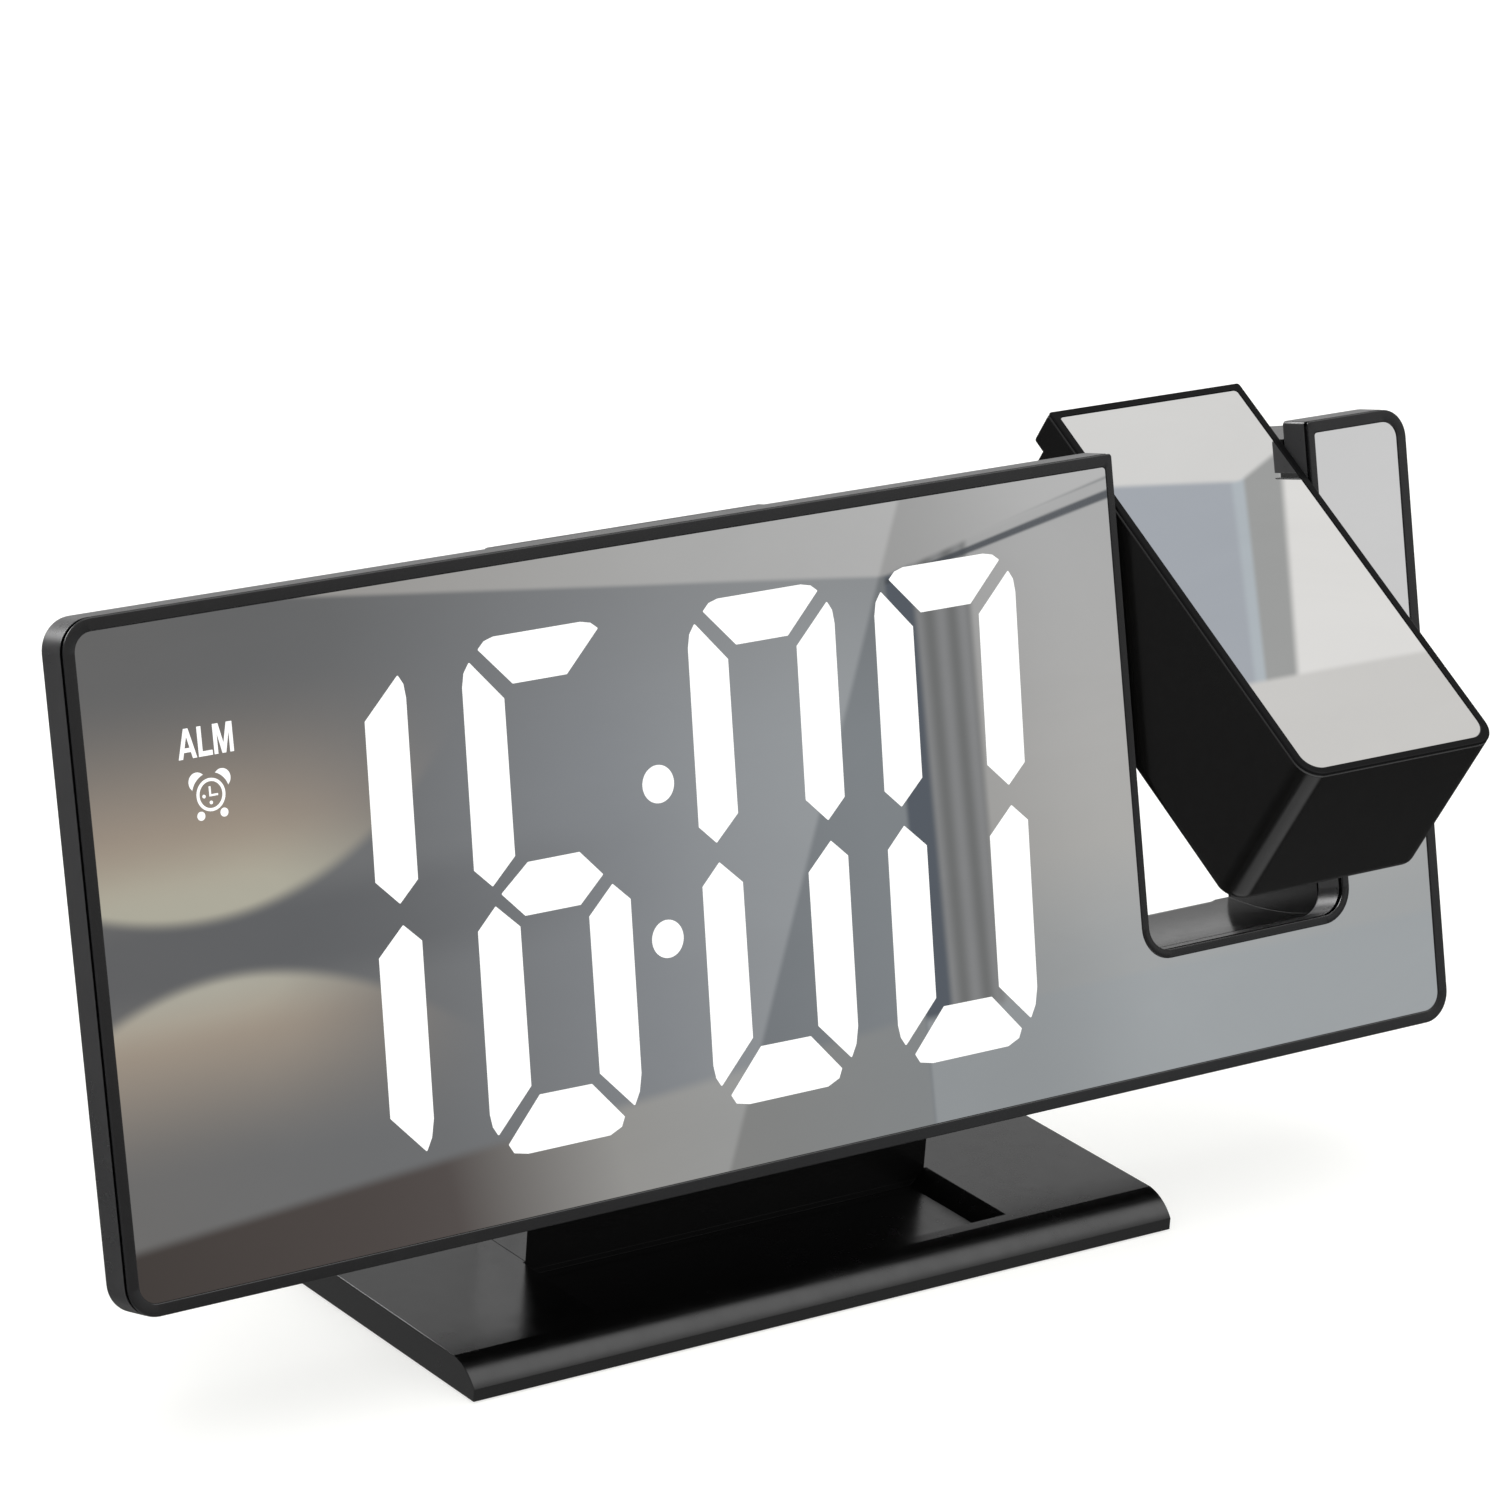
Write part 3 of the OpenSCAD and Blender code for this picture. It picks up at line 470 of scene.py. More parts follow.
def body_outline(k, low=0.0, r_out=None, r_top=0.4):
    """The slab's outline, k inside its edge and 0.7 k inside the notch's edge."""
    x0, x1, y0, y1 = -BW / 2 + k, BW / 2 - k, k, BH - k
    q = 0.7 * k
    nx0, nx1, ny = NOTCH_X - q, NOTCH_X + NOTCH_W + q, NOTCH_Z - q - low
    r = max(CORNER_R - k, 0.6) if r_out is None else r_out
    rn = NOTCH_R + q
    t = r_top
    return (arc(x0 + r, y0 + r, r, 180, 270, 12) + arc(x1 - r, y0 + r, r, 270, 360, 12)
            + arc(x1 - r, y1 - r, r, 0, 90, 12) + arc(nx1 + t, y1 - t, t, 90, 180, 6)
            + arc(nx1 - rn, ny + rn, rn, 0, -90, 12) + arc(nx0 + rn, ny + rn, rn, -90, -180, 12)
            + arc(nx0 - t, y1 - t, t, 0, 90, 6) + arc(x0 + r, y1 - r, r, 90, 180, 12))


def body_ring(k, v, low=0.0, **kw):
    return [body_pt(x, v, u) for x, u in body_outline(k, low, **kw)]


def body_front():
    # cap around the mirror, over the slab's whole edge
    prof = rounded([(0.03, 0, 0.14), (0.03, 0.21, 0.04), (0.62, 0.21, 0), (0.62, 2.0, 0), (1.5, 2.0, 0),
                    (1.5, 0, 0.12)])
    bm = bmesh.new()
    loft(bm, [body_ring(k, v) for k, v in prof], wrap=True)
    link_piece("bezel_cap", bm, MATS["frame_charcoal"], "clock_body", ("front_bezel",))
    # band of the slab, with its inner flange; its front edge is undercut, which makes the seam dark
    prof = rounded([(0.02, 0.68, 0.05), (0.02, 5.0, 0.45), (3.0, 5.0, 0), (3.0, 2.0, 0), (0.57, 2.0, 0),
                    (0.57, 1.62, 0)])
    bm = bmesh.new()
    loft(bm, [body_ring(k, v, low=drop(v) if k < 0.5 else 0.0) for k, v in prof], wrap=True)
    link_piece("slab_band", bm, MATS["side_band"], "clock_body", ("mid_frame",))
    # mirror: a plate with a fine arris
    bm = bmesh.new()
    loft(bm, [body_ring(k, v, r_top=0.5) for k, v in
              ((1.53, 1.95), (1.53, 0.19), (1.54, 0.165), (1.56, SINK))])
    link_piece("mirror_plate", bm, MATS["mirror_face"], "clock_body", ("mirror_panel",), smooth=False)


body_front()


# ---------------------------------------------------------------- arm pieces
ARM_BOT = ARM_L - DROP


def arm_outline(k, top=DROP, r_low=None, r_top=0.35):
    x, y0, y1 = ARM_HW - k, -ARM_BOT + k, top - k
    r = max(3 - k, 0.5) if r_low is None else r_low
    t = r_top
    return (arc(-x + r, y0 + r, r, 180, 270, 12) + arc(x - r, y0 + r, r, 270, 360, 12)
            + arc(x - t, y1 - t, t, 0, 90, 6) + arc(-x + t, y1 - t, t, 90, 180, 6))


def arm_ring(k, v, top=DROP, tuck=0.0, **kw):
    """tuck lifts the lower end, to round its edge at the back."""
    pts = []
    for x, z in arm_outline(k, top, **kw):
        w = max(0.0, min(1.0, (-z - (ARM_BOT - 4.5)) / 4.5))
        pts.append(arm_pt(x, v - ARM_D / 2, z + tuck * w))
    return pts


def cut(name, base, tools):
    """Exact booleans: base and tools are meshes, tools are (mesh, operation)."""
    made = []

    def temp(me):
        o = bpy.data.objects.new("tmp", me)
        bpy.context.scene.collection.objects.link(o)
        made.append(o)
        return o
    o = temp(base)
    for me, op in tools:
        m = o.modifiers.new("b", "BOOLEAN")
        m.operation = op
        m.solver = "EXACT"
        m.object = temp(me)
    bpy.context.view_layer.update()
    ev = o.evaluated_get(bpy.context.evaluated_depsgraph_get())
    out = bpy.data.meshes.new_from_object(ev)
    out.name = name
    for t in made:
        me = t.data
        bpy.data.objects.remove(t)
        bpy.data.meshes.remove(me)
    return out


def solid(rings, wrap=False):
    bm = bmesh.new()
    loft(bm, rings, wrap)
    bmesh.ops.remove_doubles(bm, verts=bm.verts, dist=1e-7)
    bmesh.ops.recalc_face_normals(bm, faces=bm.faces)
    me = bpy.data.meshes.new("solid")
    bm.to_mesh(me)
    bm.free()
    return me


def arm_rod(x, y, z0, z1, r, n=64, along="z"):
    """Rod in the arm: along its length, or backwards from depth z0 to z1 for along="y"."""
    rings = []
    for t in (z0, z1):
        ring = []
        for i in range(n):
            a = math.tau * i / n
            if along == "z":
                ring.append(arm_pt(x + r * math.cos(a), y + r * math.sin(a), t))
            else:
                ring.append(arm_pt(x + r * math.cos(a), t, y + r * math.sin(a)))
        rings.append(ring)
    return solid(rings)


def arm_front():
    # housing: front slab with a lip on top, deeper box behind it, hollow, with the lens ring's hole
    slab = solid([arm_ring(0.57, 0.60), arm_ring(0.12, 0.60), arm_ring(0.05, 0.62), arm_ring(0.02, 0.68),
                  arm_ring(0.02, 4.60), arm_ring(0.08, 4.85), arm_ring(0.3, 5.0)])
    rear = 1.5
    box = [arm_ring(0.02, 4.4, 10.0), arm_ring(0.02, ARM_D - rear, 10.0)]
    for i in range(1, 7):
        a = math.radians(15 * i)
        s, c = math.sin(a), 1 - math.cos(a)
        box.append(arm_ring(0.02 + 0.55 * c, ARM_D - rear + rear * s, 10.0, tuck=(rear - 0.55) * c))
    hollow = solid([arm_ring(1.8, 3.2, 9.8), arm_ring(1.8, ARM_D + 1, 9.8)])
    me = cut("arm_shell", slab, [(solid(box), "UNION"), (hollow, "DIFFERENCE"),
                                 (arm_rod(0, 1.75, 4.0, 14.0, 6.85, 96), "DIFFERENCE")])
    link_mesh("arm_shell", me, MATS["black_satin"], "projector_arm", ("arm_housing",))
    # cap around the arm's mirror, in a darker, less glossy copy of the bezel's plastic: painted shade
    prof = rounded([(0.03, 0, 0.20), (0.03, 0.36, 0.05), (0.62, 0.36, 0), (0.62, 2.0, 0), (1.07, 2.0, 0),
                    (1.07, 0, 0.10)])
    bm = bmesh.new()
    loft(bm, [arm_ring(k, v, r_low=3.0 - 0.6 * k, r_top=0.35 + 0.1 * k) for k, v in prof], wrap=True)
    link_piece("arm_cap", bm, MATS["frame_charcoal_arm_painted_shade"], "projector_arm", ("arm_bezel",))
    bm = bmesh.new()
    loft(bm, [arm_ring(k, v, r_low=2.35, r_top=0.5) for k, v in
              ((1.10, 1.95), (1.10, 0.19), (1.11, 0.165), (1.13, SINK))])
    link_piece("arm_mirror_plate", bm, MATS["mirror_face"], "projector_arm", ("arm_mirror",),
               smooth=False)


arm_front()


# ---------------------------------------------------------------- lit figures
HALF, SLANT = 10.65, 0.034
DIGITS = ((-65.5, "bc"), (-36.57, "acdefg"), (-5.0, "abcdef"), (22.24, "abcdef"))
# each point: side it is measured from, distance from that side's edge, height
SEGMENTS = {
    "a": [("L", 2.4, 67.3), ("L", 3.3, 68.15), ("L", 4.6, 68.5), ("R", 4.6, 68.5), ("R", 3.2, 68.2),
          ("R", 2.2, 67.45), ("R", 6.9, 62.8), ("L", 6.9, 62.8)],
    "f": [("L", 0, 42.4), ("L", 0, 63.3), ("L", 0.3, 64.9), ("L", 1.1, 66.05), ("L", 5.6, 61.3),
          ("L", 5.7, 43.2), ("L", 2.4, 40.2)],
    "b": [("R", 0, 42.7), ("R", 2.6, 40.3), ("R", 5.7, 43.2), ("R", 5.7, 61.4), ("R", 0.95, 66.0),
          ("R", 0.25, 64.9), ("R", 0, 63.3)],
    "g": [("L", 3.5, 39.15), ("L", 7.4, 42.23), ("R", 6.7, 42.24), ("R", 3.6, 39.15), ("R", 7.0, 36.15),
          ("L", 6.6, 36.15)],
    "e": [("L", 2.6, 37.9), ("L", 5.8, 35.05), ("L", 5.9, 16.6), ("L", 1.0, 11.7), ("L", 0.3, 12.8),
          ("L", 0, 14.3), ("L", 0, 35.4)],
    "c": [("R", 2.4, 37.85), ("R", 0, 35.7), ("R", 0, 15.3), ("R", 0.4, 13.2), ("R", 1.2, 11.7),
          ("R", 5.8, 16.3), ("R", 5.9, 34.6)],
    "d": [("L", 2.3, 10.4), ("L", 7.0, 15.4), ("R", 7.0, 15.3), ("R", 2.7, 10.7), ("R", 3.2, 9.6),
          ("R", 4.9, 8.9), ("L", 4.9, 8.9), ("L", 3.0, 9.3)],
}


def plate(bm, outline, v_front, v_back, hole=None):
    """Thin closed plate from a flat outline in the face's plane, with an optional hole."""
    def ring(pts, v):
        return [bm.verts.new(body_pt(x, v, u)) for x, u in pts]
    f, b = ring(outline, v_front), ring(outline, v_back)
    n = len(outline)
    for i in range(n):
        bm.faces.new((f[i], f[(i + 1) % n], b[(i + 1) % n], b[i]))
    if hole is None:
        bm.faces.new(f)
        bm.faces.new(list(reversed(b)))
        return
    hf, hb = ring(hole, v_front), ring(hole, v_back)
    for i in range(n):
        j = (i + 1) % n
        bm.faces.new((hf[j], hf[i], hb[i], hb[j]))
        bm.faces.new((f[i], hf[i], hf[j], f[j]))
        bm.faces.new((b[i], b[j], hb[j], hb[i]))


def soften(pts, r):
    """Tiny rounding of every corner of a stroke."""
    return rounded([(x, y, r) for x, y in pts], seg=3)


def figures():
    zf, zb = SINK - 0.04, SINK + 0.01
    bm = bmesh.new()
    for mid, segs in DIGITS:
        for n in segs:
            pts = []
            for side, off, u in SEGMENTS[n]:
                x = mid + SLANT * (u - 38.7)
                pts.append((x - HALF + off if side == "L" else x + HALF - off, u))
            plate(bm, soften(pts, 0.12), zf, zb)
    o = link_piece("digit_light", bm, MATS["lit_white"], "clock_body", smooth=False)
    o.visible_glossy = False
    bm = bmesh.new()
    for cx, cu in ((-20.7, 48.3), (-21.3, 30.2)):
        plate(bm, arc(cx, cu, 2.23, 0, 360 - 360 / 48, 47), zf, zb)
    o = link_piece("colon_light", bm, MATS["lit_white"], "clock_body", smooth=False)
    o.visible_glossy = False


def indicators():
    zf, zb = SINK - 0.04, SINK + 0.01
    bm = bmesh.new()

    def poly(pts, x0):
        plate(bm, [(x0 + x, 60.75 + y) for x, y in pts], zf, zb)
    h = 3.37
    leg = lambda y: 0.53 + 0.65 * y / 2.55
    poly([(0, 0), (0.53, 0), (1.18, 2.55), (1.18, h), (0.90, h)], -84.24)
    poly([(2.36, 0), (1.46, h), (1.18, h), (1.18, 2.55), (1.83, 0)], -84.24)
    poly([(leg(0.72), 0.72), (2.36 - leg(0.72), 0.72), (2.36 - leg(1.2), 1.2), (leg(1.2), 1.2)], -84.24)
    poly([(0, 0), (1.77, 0), (1.77, 0.55), (0.50, 0.55), (0.50, h), (0, h)], -81.62)
    poly([(0, 0), (0.46, 0), (0.46, 2.45), (1.02, 0), (1.48, 0), (2.04, 2.45), (2.04, 0), (2.5, 0),
          (2.5, h), (1.80, h), (1.25, 1.05), (0.70, h), (0, h)], -79.6)
    cx, cy = -80.6, 56.4
    plate(bm, arc(cx, cy, 1.85, 0, 352.5, 47), zf, zb, arc(cx, cy, 1.5, 0, 352.5, 47))
    plate(bm, [(cx - 0.2, cy - 0.19), (cx + 0.9, cy - 0.19), (cx + 0.9, cy + 0.03), (cx + 0.02, cy + 0.03),
               (cx + 0.02, cy + 0.93), (cx - 0.2, cy + 0.93)], zf, zb)
    for x, y in ((-0.91, -0.09), (-0.05, -0.88)):
        plate(bm, arc(cx + x, cy + y, 0.2, 0, 345, 23), zf, zb)
    for s in (-1, 1):
        plate(bm, arc(cx + s * 1.5, cy - 2.2, 0.5, 0, 345, 23), zf, zb)
        pts = arc(1.62, 1.62, 1.08, -48, 138, 20) + arc(0, 0, 2.48, 72, 18, 10)
        pts = [(cx + s * x, cy + y) for x, y in pts]
        plate(bm, pts if s > 0 else list(reversed(pts)), zf, zb)
    link_piece("alarm_light", bm, MATS["lit_white"], "clock_body", smooth=False)


figures()
indicators()


# ---------------------------------------------------------------- stage
class Sky:
    """Small node writer for the studio surround, which depends only on direction."""

    def __init__(self, nt):
        self.nt = nt

    def new(self, kind, **values):
        n = self.nt.nodes.new(kind)
        for k, v in values.items():
            setattr(n, k, v)
        return n

    def math(self, op, a, b=0.0, clamp=False):
        n = self.new("ShaderNodeMath", operation=op, use_clamp=clamp)
        for i, v in enumerate((a, b)):
            if isinstance(v, (int, float)):
                n.inputs[i].default_value = v
            else:
                self.nt.links.new(v, n.inputs[i])
        return n.outputs[0]

    def step(self, v, a, b):
        """0 below a, 1 above b, smooth between; a may be above b."""
        n = self.new("ShaderNodeMapRange", interpolation_type="SMOOTHSTEP")
        for i, x in zip((1, 2, 3, 4), (a, b, 0.0, 1.0) if a < b else (b, a, 1.0, 0.0)):
            n.inputs[i].default_value = x
        self.nt.links.new(v, n.inputs[0])
        return n.outputs[0]

    def mul(self, *vs):
        out = vs[0]
        for v in vs[1:]:
            out = self.math("MULTIPLY", out, v)
        return out

    def mix(self, fac, a, b):
        n = self.new("ShaderNodeMix", data_type="RGBA")
        ins = {i.identifier: i for i in n.inputs}
        if isinstance(fac, (int, float)):
            ins["Factor_Float"].default_value = fac
        else:
            self.nt.links.new(fac, ins["Factor_Float"])
        for key, v in (("A_Color", a), ("B_Color", b)):
            if isinstance(v, (tuple, list)):
                ins[key].default_value = (*v[:3], 1)
            elif isinstance(v, (int, float)):
                ins[key].default_value = (v, v, v, 1)
            else:
                self.nt.links.new(v, ins[key])
        return {o.identifier: o for o in n.outputs}["Result_Color"]

    def ramp(self, v, stops):
        n = self.new("ShaderNodeValToRGB")
        n.color_ramp.interpolation = "LINEAR"
        els = n.color_ramp.elements
        for i, (pos, c) in enumerate(stops):
            c = (c, c, c) if isinstance(c, (int, float)) else c
            e = els[i] if i < 2 else els.new(pos)
            e.position = pos
            e.color = (*c, 1)
        self.nt.links.new(v, n.inputs[0])
        return n.outputs[0]

    def line(self, u, v, p0, p1, soft):
        """1 on the left of the line from p0 to p1, 0 on its right."""
        du, dv = p1[0] - p0[0], p1[1] - p0[1]
        length = math.hypot(du, dv)
        a = self.math("MULTIPLY", self.math("SUBTRACT", v, p0[1]), du / length)
        b = self.math("MULTIPLY", self.math("SUBTRACT", u, p0[0]), dv / length)
        return self.step(self.math("SUBTRACT", a, b), -soft, soft)

    def spot(self, vec, direction, wide, tight):
        n = self.new("ShaderNodeVectorMath", operation="DOT_PRODUCT")
        self.nt.links.new(vec, n.inputs[0])
        n.inputs[1].default_value = Vector(direction).normalized()
        return self.step(n.outputs["Value"], math.cos(math.radians(wide)), math.cos(math.radians(tight)))


def studio_world():
    w = bpy.data.worlds.new("studio")
    bpy.context.scene.world = w
    w.use_nodes = True
    nt = w.node_tree
    nt.nodes.clear()
    k = Sky(nt)
    out = k.new("ShaderNodeOutputWorld")
    vec = k.new("ShaderNodeTexCoord").outputs["Generated"]
    sep = k.new("ShaderNodeSeparateXYZ")
    nt.links.new(vec, sep.inputs[0])
    x, y, z = sep.outputs
    h = k.math("MULTIPLY", k.math("ADD", z, 1.0), 0.5)

    # what glossy surfaces see: dark below, pale backdrop behind, dimmer room in front
    behind = k.ramp(h, [(0.0, 0.30), (1.0, 0.65), (0.10, 0.30), (0.17, 0.06), (0.32, 0.08), (0.40, 0.25),
                        (0.45, 0.52), (0.50, 0.72), (0.58, 0.80), (0.67, 0.84), (0.80, 0.50)])
    behind = k.mix(k.mul(k.step(x, 0.10, -0.25), k.step(h, 0.30, 0.36), k.step(h, 0.66, 0.56)), behind, 0.16)
    front = k.ramp(h, [(0.0, 0.05), (1.0, 0.65), (0.30, 0.07), (0.45, 0.16), (0.52, 0.26), (0.62, 0.34),
                       (0.80, 0.50), (0.88, 0.75)])
    front = k.mix(k.mul(k.step(x, -0.20, -0.45), k.step(h, 0.62, 0.55), 0.4), front, 0.09)
    sky = k.mix(k.step(y, -0.15, 0.25), front, behind)

    # softbox high behind on the left, a faint one low in front for the arm's rounded edge, one overhead
    sky = k.mix(k.spot(vec, (-0.44, 0.743, 0.48), 25, 9), sky, 12.5)
    sky = k.mix(k.spot(vec, (-0.05, -0.32, -0.945), 33, 16), sky, 1.25)
    sky = k.mix(k.spot(vec, (0.52, -0.34, 0.785), 22, 10), sky, 2.4)

    # a plain room tone in front, seen in the display's mirror: wall, ceiling, window side, lamp glow
    ny = k.math("MAXIMUM", k.math("MULTIPLY", y, -1.0), 0.05)
    p = k.math("DIVIDE", x, ny)
    q = k.math("DIVIDE", z, ny)
    wall = k.ramp(k.math("MULTIPLY", k.math("SUBTRACT", p, 0.55), 4.0),
                  [(0.0, (0.190, 0.185, 0.180)), (1.0, (0.33, 0.36, 0.385)), (0.30, (0.185, 0.190, 0.196)),
                   (0.50, (0.225, 0.242, 0.262)), (0.72, (0.31, 0.335, 0.355))])
    wall = k.mix(k.mul(k.step(q, 0.095, 0.140), 0.45), wall, (0.13, 0.13, 0.13))
    # glow of a lamp, above and below its shade
    du = k.math("SUBTRACT", p, 0.5877)
    sq = k.math("MULTIPLY", du, du)
    arc_up = k.math("SUBTRACT", q, k.math("ADD", k.math("MULTIPLY", sq, 7.6), 0.0872))
    up = k.mul(k.step(arc_up, -0.0012, 0.0022), k.step(q, 0.131, 0.087), k.step(p, 0.652, 0.595))
    glow = k.mix(k.step(q, 0.106, 0.090), (0.475, 0.39, 0.305), (0.515, 0.495, 0.405))
    wall = k.mix(k.math("MULTIPLY", up, 1.1, True), wall, glow)
    dl = k.math("SUBTRACT", p, 0.5890)
    arc_lo = k.math("SUBTRACT", k.math("SUBTRACT", 0.0780, k.math("MULTIPLY", k.math("MULTIPLY", dl, dl), 8.0)), q)
    lo = k.mul(k.step(arc_lo, -0.0012, 0.0022), k.step(q, 0.044, 0.080), k.step(p, 0.642, 0.590))
    glow = k.mix(k.step(q, 0.066, 0.0775), (0.46, 0.385, 0.305), (0.51, 0.49, 0.415))
    wall = k.mix(k.math("MULTIPLY", lo, 1.15, True), wall, glow)
    gap = k.mul(k.step(q, 0.070, 0.079), k.step(q, 0.094, 0.086), k.step(p, 0.70, 0.60))
    wall = k.mix(k.mul(gap, k.math("SUBTRACT", 1.0, up), k.math("SUBTRACT", 1.0, lo), 0.55), wall, (0.115, 0.12, 0.13))
    # floor of the room
    floor_l = k.math("MULTIPLY", k.line(p, q, (0.6247, 0.0385), (0.6786, 0.0420), 0.0012), 1.0)
    ground = k.ramp(k.math("MULTIPLY", k.math("SUBTRACT", p, 0.55), 3.3),
                    [(0.0, (0.07, 0.06, 0.055)), (1.0, (0.47, 0.49, 0.50)), (0.24, (0.10, 0.085, 0.08)),
                     (0.36, (0.33, 0.325, 0.31)), (0.62, (0.34, 0.36, 0.37)), (0.80, (0.44, 0.47, 0.48))])
    wall = k.mix(floor_l, ground, wall)
    # window side: brighter, right of the corner; a curtain beside it
    side = k.line(p, q, (0.7471, 0.1272), (0.7338, 0.0550), 0.0007)
    window = k.ramp(k.math("MULTIPLY", q, 6.5), [(0.0, (0.40, 0.42, 0.43)), (1.0, (0.50, 0.505, 0.51)),
                                                 (0.33, (0.44, 0.455, 0.46)), (0.46, (0.50, 0.495, 0.48)),
                                                 (0.60, (0.51, 0.505, 0.495))])
    pleat = k.new("ShaderNodeTexWave", wave_type="BANDS", bands_direction="X", wave_profile="SIN")
    pleat.inputs["Scale"].default_value = 60.0
    pleat.inputs["Distortion"].default_value = 0.8
    uv = k.new("ShaderNodeCombineXYZ")
    nt.links.new(k.math("SUBTRACT", p, k.math("MULTIPLY", q, 0.184)), uv.inputs[0])
    nt.links.new(k.math("MULTIPLY", q, 0.05), uv.inputs[1])
    nt.links.new(uv.outputs[0], pleat.inputs["Vector"])
    curtain = k.mix(pleat.outputs["Fac"], (0.23, 0.235, 0.235), (0.33, 0.335, 0.34))
    cl = k.line(p, q, (0.7521, 0.1203), (0.7398, 0.0535), 0.0010)
    cr = k.line(p, q, (0.7650, 0.1196), (0.7510, 0.0475), 0.0010)
    reveal = (0.135, 0.155, 0.185)
    right = k.mix(cl, reveal, curtain)
    window = k.mix(k.mul(k.step(p, 0.835, 0.855), k.step(q, 0.070, 0.100)), window, 0.72)
    right = k.mix(cr, right, window)
    # a plain rail under the ceiling
    rail = k.mul(k.line(p, q, (0.7471, 0.1257), (0.8041, 0.1351), 0.0003),
                 k.line(p, q, (0.8041, 0.1367), (0.7471, 0.1266), 0.0003))
    edge = k.mul(k.line(p, q, (0.7471, 0.1283), (0.8041, 0.1388), 0.0003),
                 k.line(p, q, (0.8041, 0.1393), (0.7471, 0.1287), 0.0003))
    right = k.mix(k.math("MULTIPLY", rail, 0.9), right, (0.09, 0.10, 0.115))
    right = k.mix(k.math("MULTIPLY", edge, 0.7), right, (0.15, 0.16, 0.17))
    body = k.mix(side, wall, right)
    low = k.step(q, 0.0455, 0.0435)
    body = k.mix(k.mul(low, side), body, (0.42, 0.445, 0.46))
    # ceiling
    c1 = k.line(p, q, (0.6224, 0.1409), (0.7471, 0.1272), 0.0006)
    c2 = k.line(p, q, (0.7471, 0.1272), (0.8041, 0.1392), 0.0006)
    ceil = k.mul(c1, c2)
    ctone = k.ramp(k.math("MULTIPLY", k.math("SUBTRACT", p, 0.60), 4.5),
                   [(0.0, (0.36, 0.345, 0.325)), (1.0, (0.60, 0.60, 0.60)), (0.5, (0.45, 0.45, 0.445))])
    body = k.mix(ceil, body, ctone)
    # broad diagonal sheen: the left of it is a little lighter
    sheen = k.line(p, q, (0.7542, 0.1404), (0.6833, 0.0288), 0.0007)
    body = k.mix(k.mul(k.math("SUBTRACT", 1.0, sheen), 0.16, k.step(p, 0.60, 0.72)), body, 0.75)
    body = k.mix(k.mul(sheen, 0.18, k.step(p, 0.79, 0.75)), body, 0.02)
    mask = k.mul(k.step(y, -0.35, -0.6), k.step(q, -0.10, -0.02), k.step(q, 0.30, 0.20),
                 k.step(p, 0.30, 0.48), k.step(p, 1.15, 0.95))
    sky = k.mix(mask, sky, body)

    # what the turned arm's mirror sees: ceiling, wall, reveal, curtain, window
    nz = k.math("MAXIMUM", z, 0.05)
    P = k.math("DIVIDE", x, nz)
    Q = k.math("DIVIDE", y, nz)
    a_wall = k.mix(k.line(P, Q, (0.8367, 0.1509), (0.8299, 0.1132), 0.0010), (0.45, 0.48, 0.525), (0.52, 0.57, 0.61))
    a = k.mix(k.line(P, Q, (0.8397, 0.1500), (0.8318, 0.1087), 0.0008), a_wall, (0.41, 0.415, 0.41))
    a = k.mix(k.line(P, Q, (0.8497, 0.1507), (0.8394, 0.1073), 0.0012), a, (0.88, 0.87, 0.85))
    a = k.mix(k.step(Q, 0.1130, 0.1115), a, (0.72, 0.71, 0.69))
    a_top = k.mul(k.line(P, Q, (0.8070, 0.1549), (0.8390, 0.1519), 0.0007),
                  k.math("ADD", k.line(P, Q, (0.8390, 0.1519), (0.8541, 0.1583), 0.0007), 0.0))
    a = k.mix(a_top, a, (0.79, 0.785, 0.77))
    amask = k.mul(k.step(Q, 0.0, 0.07), k.step(Q, 0.26, 0.19), k.step(P, 0.62, 0.74), k.step(P, 1.10, 0.96),
                  k.step(z, 0.4, 0.6))
    sky = k.mix(amask, sky, a)

    glossy = k.new("ShaderNodeBackground")
    nt.links.new(sky, glossy.inputs[0])
    soft = k.new("ShaderNodeBackground")
    nt.links.new(k.ramp(h, [(0.0, 0.5), (1.0, 0.95), (0.5, 0.80)]), soft.inputs[0])
    white = k.new("ShaderNodeBackground")
    white.inputs[0].default_value = (1.0, 1.0, 0.965, 1)
    lp = k.new("ShaderNodeLightPath")
    m1 = k.new("ShaderNodeMixShader")
    nt.links.new(lp.outputs["Is Glossy Ray"], m1.inputs[0])
    nt.links.new(soft.outputs[0], m1.inputs[1])
    nt.links.new(glossy.outputs[0], m1.inputs[2])
    m2 = k.new("ShaderNodeMixShader")
    nt.links.new(lp.outputs["Is Camera Ray"], m2.inputs[0])
    nt.links.new(m1.outputs[0], m2.inputs[1])
    nt.links.new(white.outputs[0], m2.inputs[2])
    nt.links.new(m2.outputs[0], out.inputs[0])


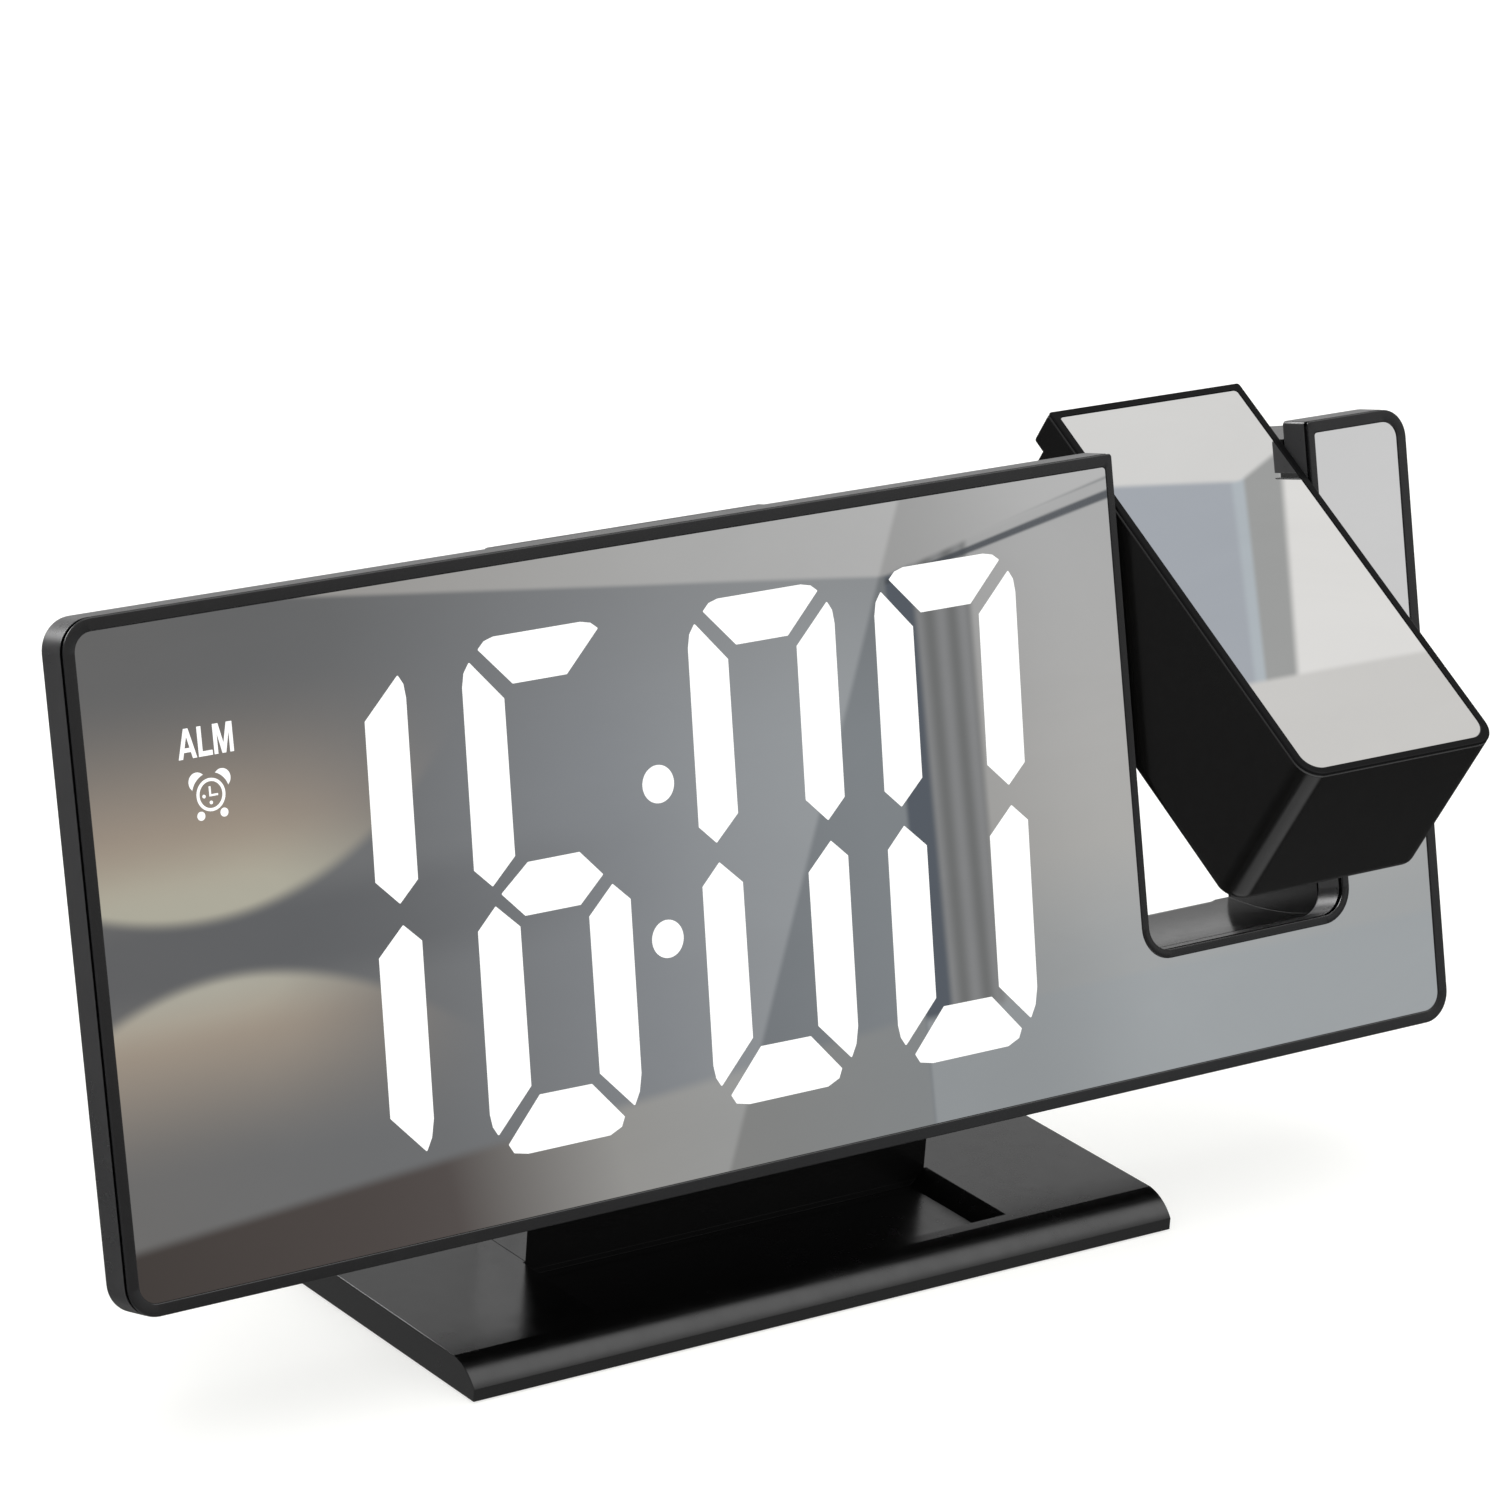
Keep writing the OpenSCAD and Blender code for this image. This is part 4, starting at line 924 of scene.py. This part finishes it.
def stage():
    sc = bpy.context.scene
    sc.view_settings.view_transform = "Standard"
    sc.view_settings.look = "None"
    sc.view_settings.exposure = 0.0
    sc.view_settings.gamma = 1.0
    me = bpy.data.meshes.new("floor")
    bm = bmesh.new()
    ring = [bm.verts.new((6 * math.cos(a), 6 * math.sin(a), 0)) for a in [i * math.tau / 96 for i in range(96)]]
    bm.faces.new(ring)
    bm.to_mesh(me)
    bm.free()
    floor = bpy.data.objects.new("floor", me)
    sc.collection.objects.link(floor)
    t = Tree("floor")
    n = t.noise(3.0, 3.0, 0.5)
    t.link(t.mix(t.remap(n, 0.3, 0.7, 0.0, 1.0), (0.40, 0.40, 0.39), (0.42, 0.42, 0.41)), t.p.inputs["Base Color"])
    t.p.inputs["Roughness"].default_value = 0.6
    t.p.inputs["Specular IOR Level"].default_value = 0.2
    t.p.inputs["Emission Color"].default_value = (1.0, 1.0, 0.98, 1)
    t.p.inputs["Emission Strength"].default_value = 0.69
    # gloss picks up the floor only close to it, as on a small table top
    lp = t.new("ShaderNodeLightPath")
    near = t.remap(lp.outputs["Ray Length"], 0.008, 0.030, 1.0, 0.0, True)
    seen = t.new("ShaderNodeEmission")
    seen.inputs["Color"].default_value = (0.38, 0.38, 0.38, 1)
    clear = t.new("ShaderNodeBsdfTransparent")
    gloss = t.new("ShaderNodeMixShader")
    t.link(near, gloss.inputs[0])
    t.link(clear.outputs[0], gloss.inputs[1])
    t.link(seen.outputs[0], gloss.inputs[2])
    mx = t.new("ShaderNodeMixShader")
    t.link(lp.outputs["Is Glossy Ray"], mx.inputs[0])
    t.link(t.p.outputs["BSDF"], mx.inputs[1])
    t.link(gloss.outputs[0], mx.inputs[2])
    t.link(mx.outputs[0], t.out.inputs["Surface"])
    me.materials.append(t.mat)
    studio_world()

    def area(name, loc, target, size, power, colour=(1, 1, 1)):
        d = bpy.data.lights.new(name, "AREA")
        d.shape = "RECTANGLE"
        d.size, d.size_y = size
        d.energy = power
        d.color = colour
        o = bpy.data.objects.new(name, d)
        o.location = loc
        o.rotation_mode = "QUATERNION"
        o.rotation_quaternion = (Vector(target) - Vector(loc)).to_track_quat("-Z", "Y")
        sc.collection.objects.link(o)
        o.visible_glossy = False
        return o
    area("key", (-0.9, -0.4, 1.5), (0, 0, 0.05), (1.6, 1.6), 9)
    area("top", (0.2, 0.2, 1.9), (0, 0, 0), (2.0, 2.0), 12)


make_camera()
stage()
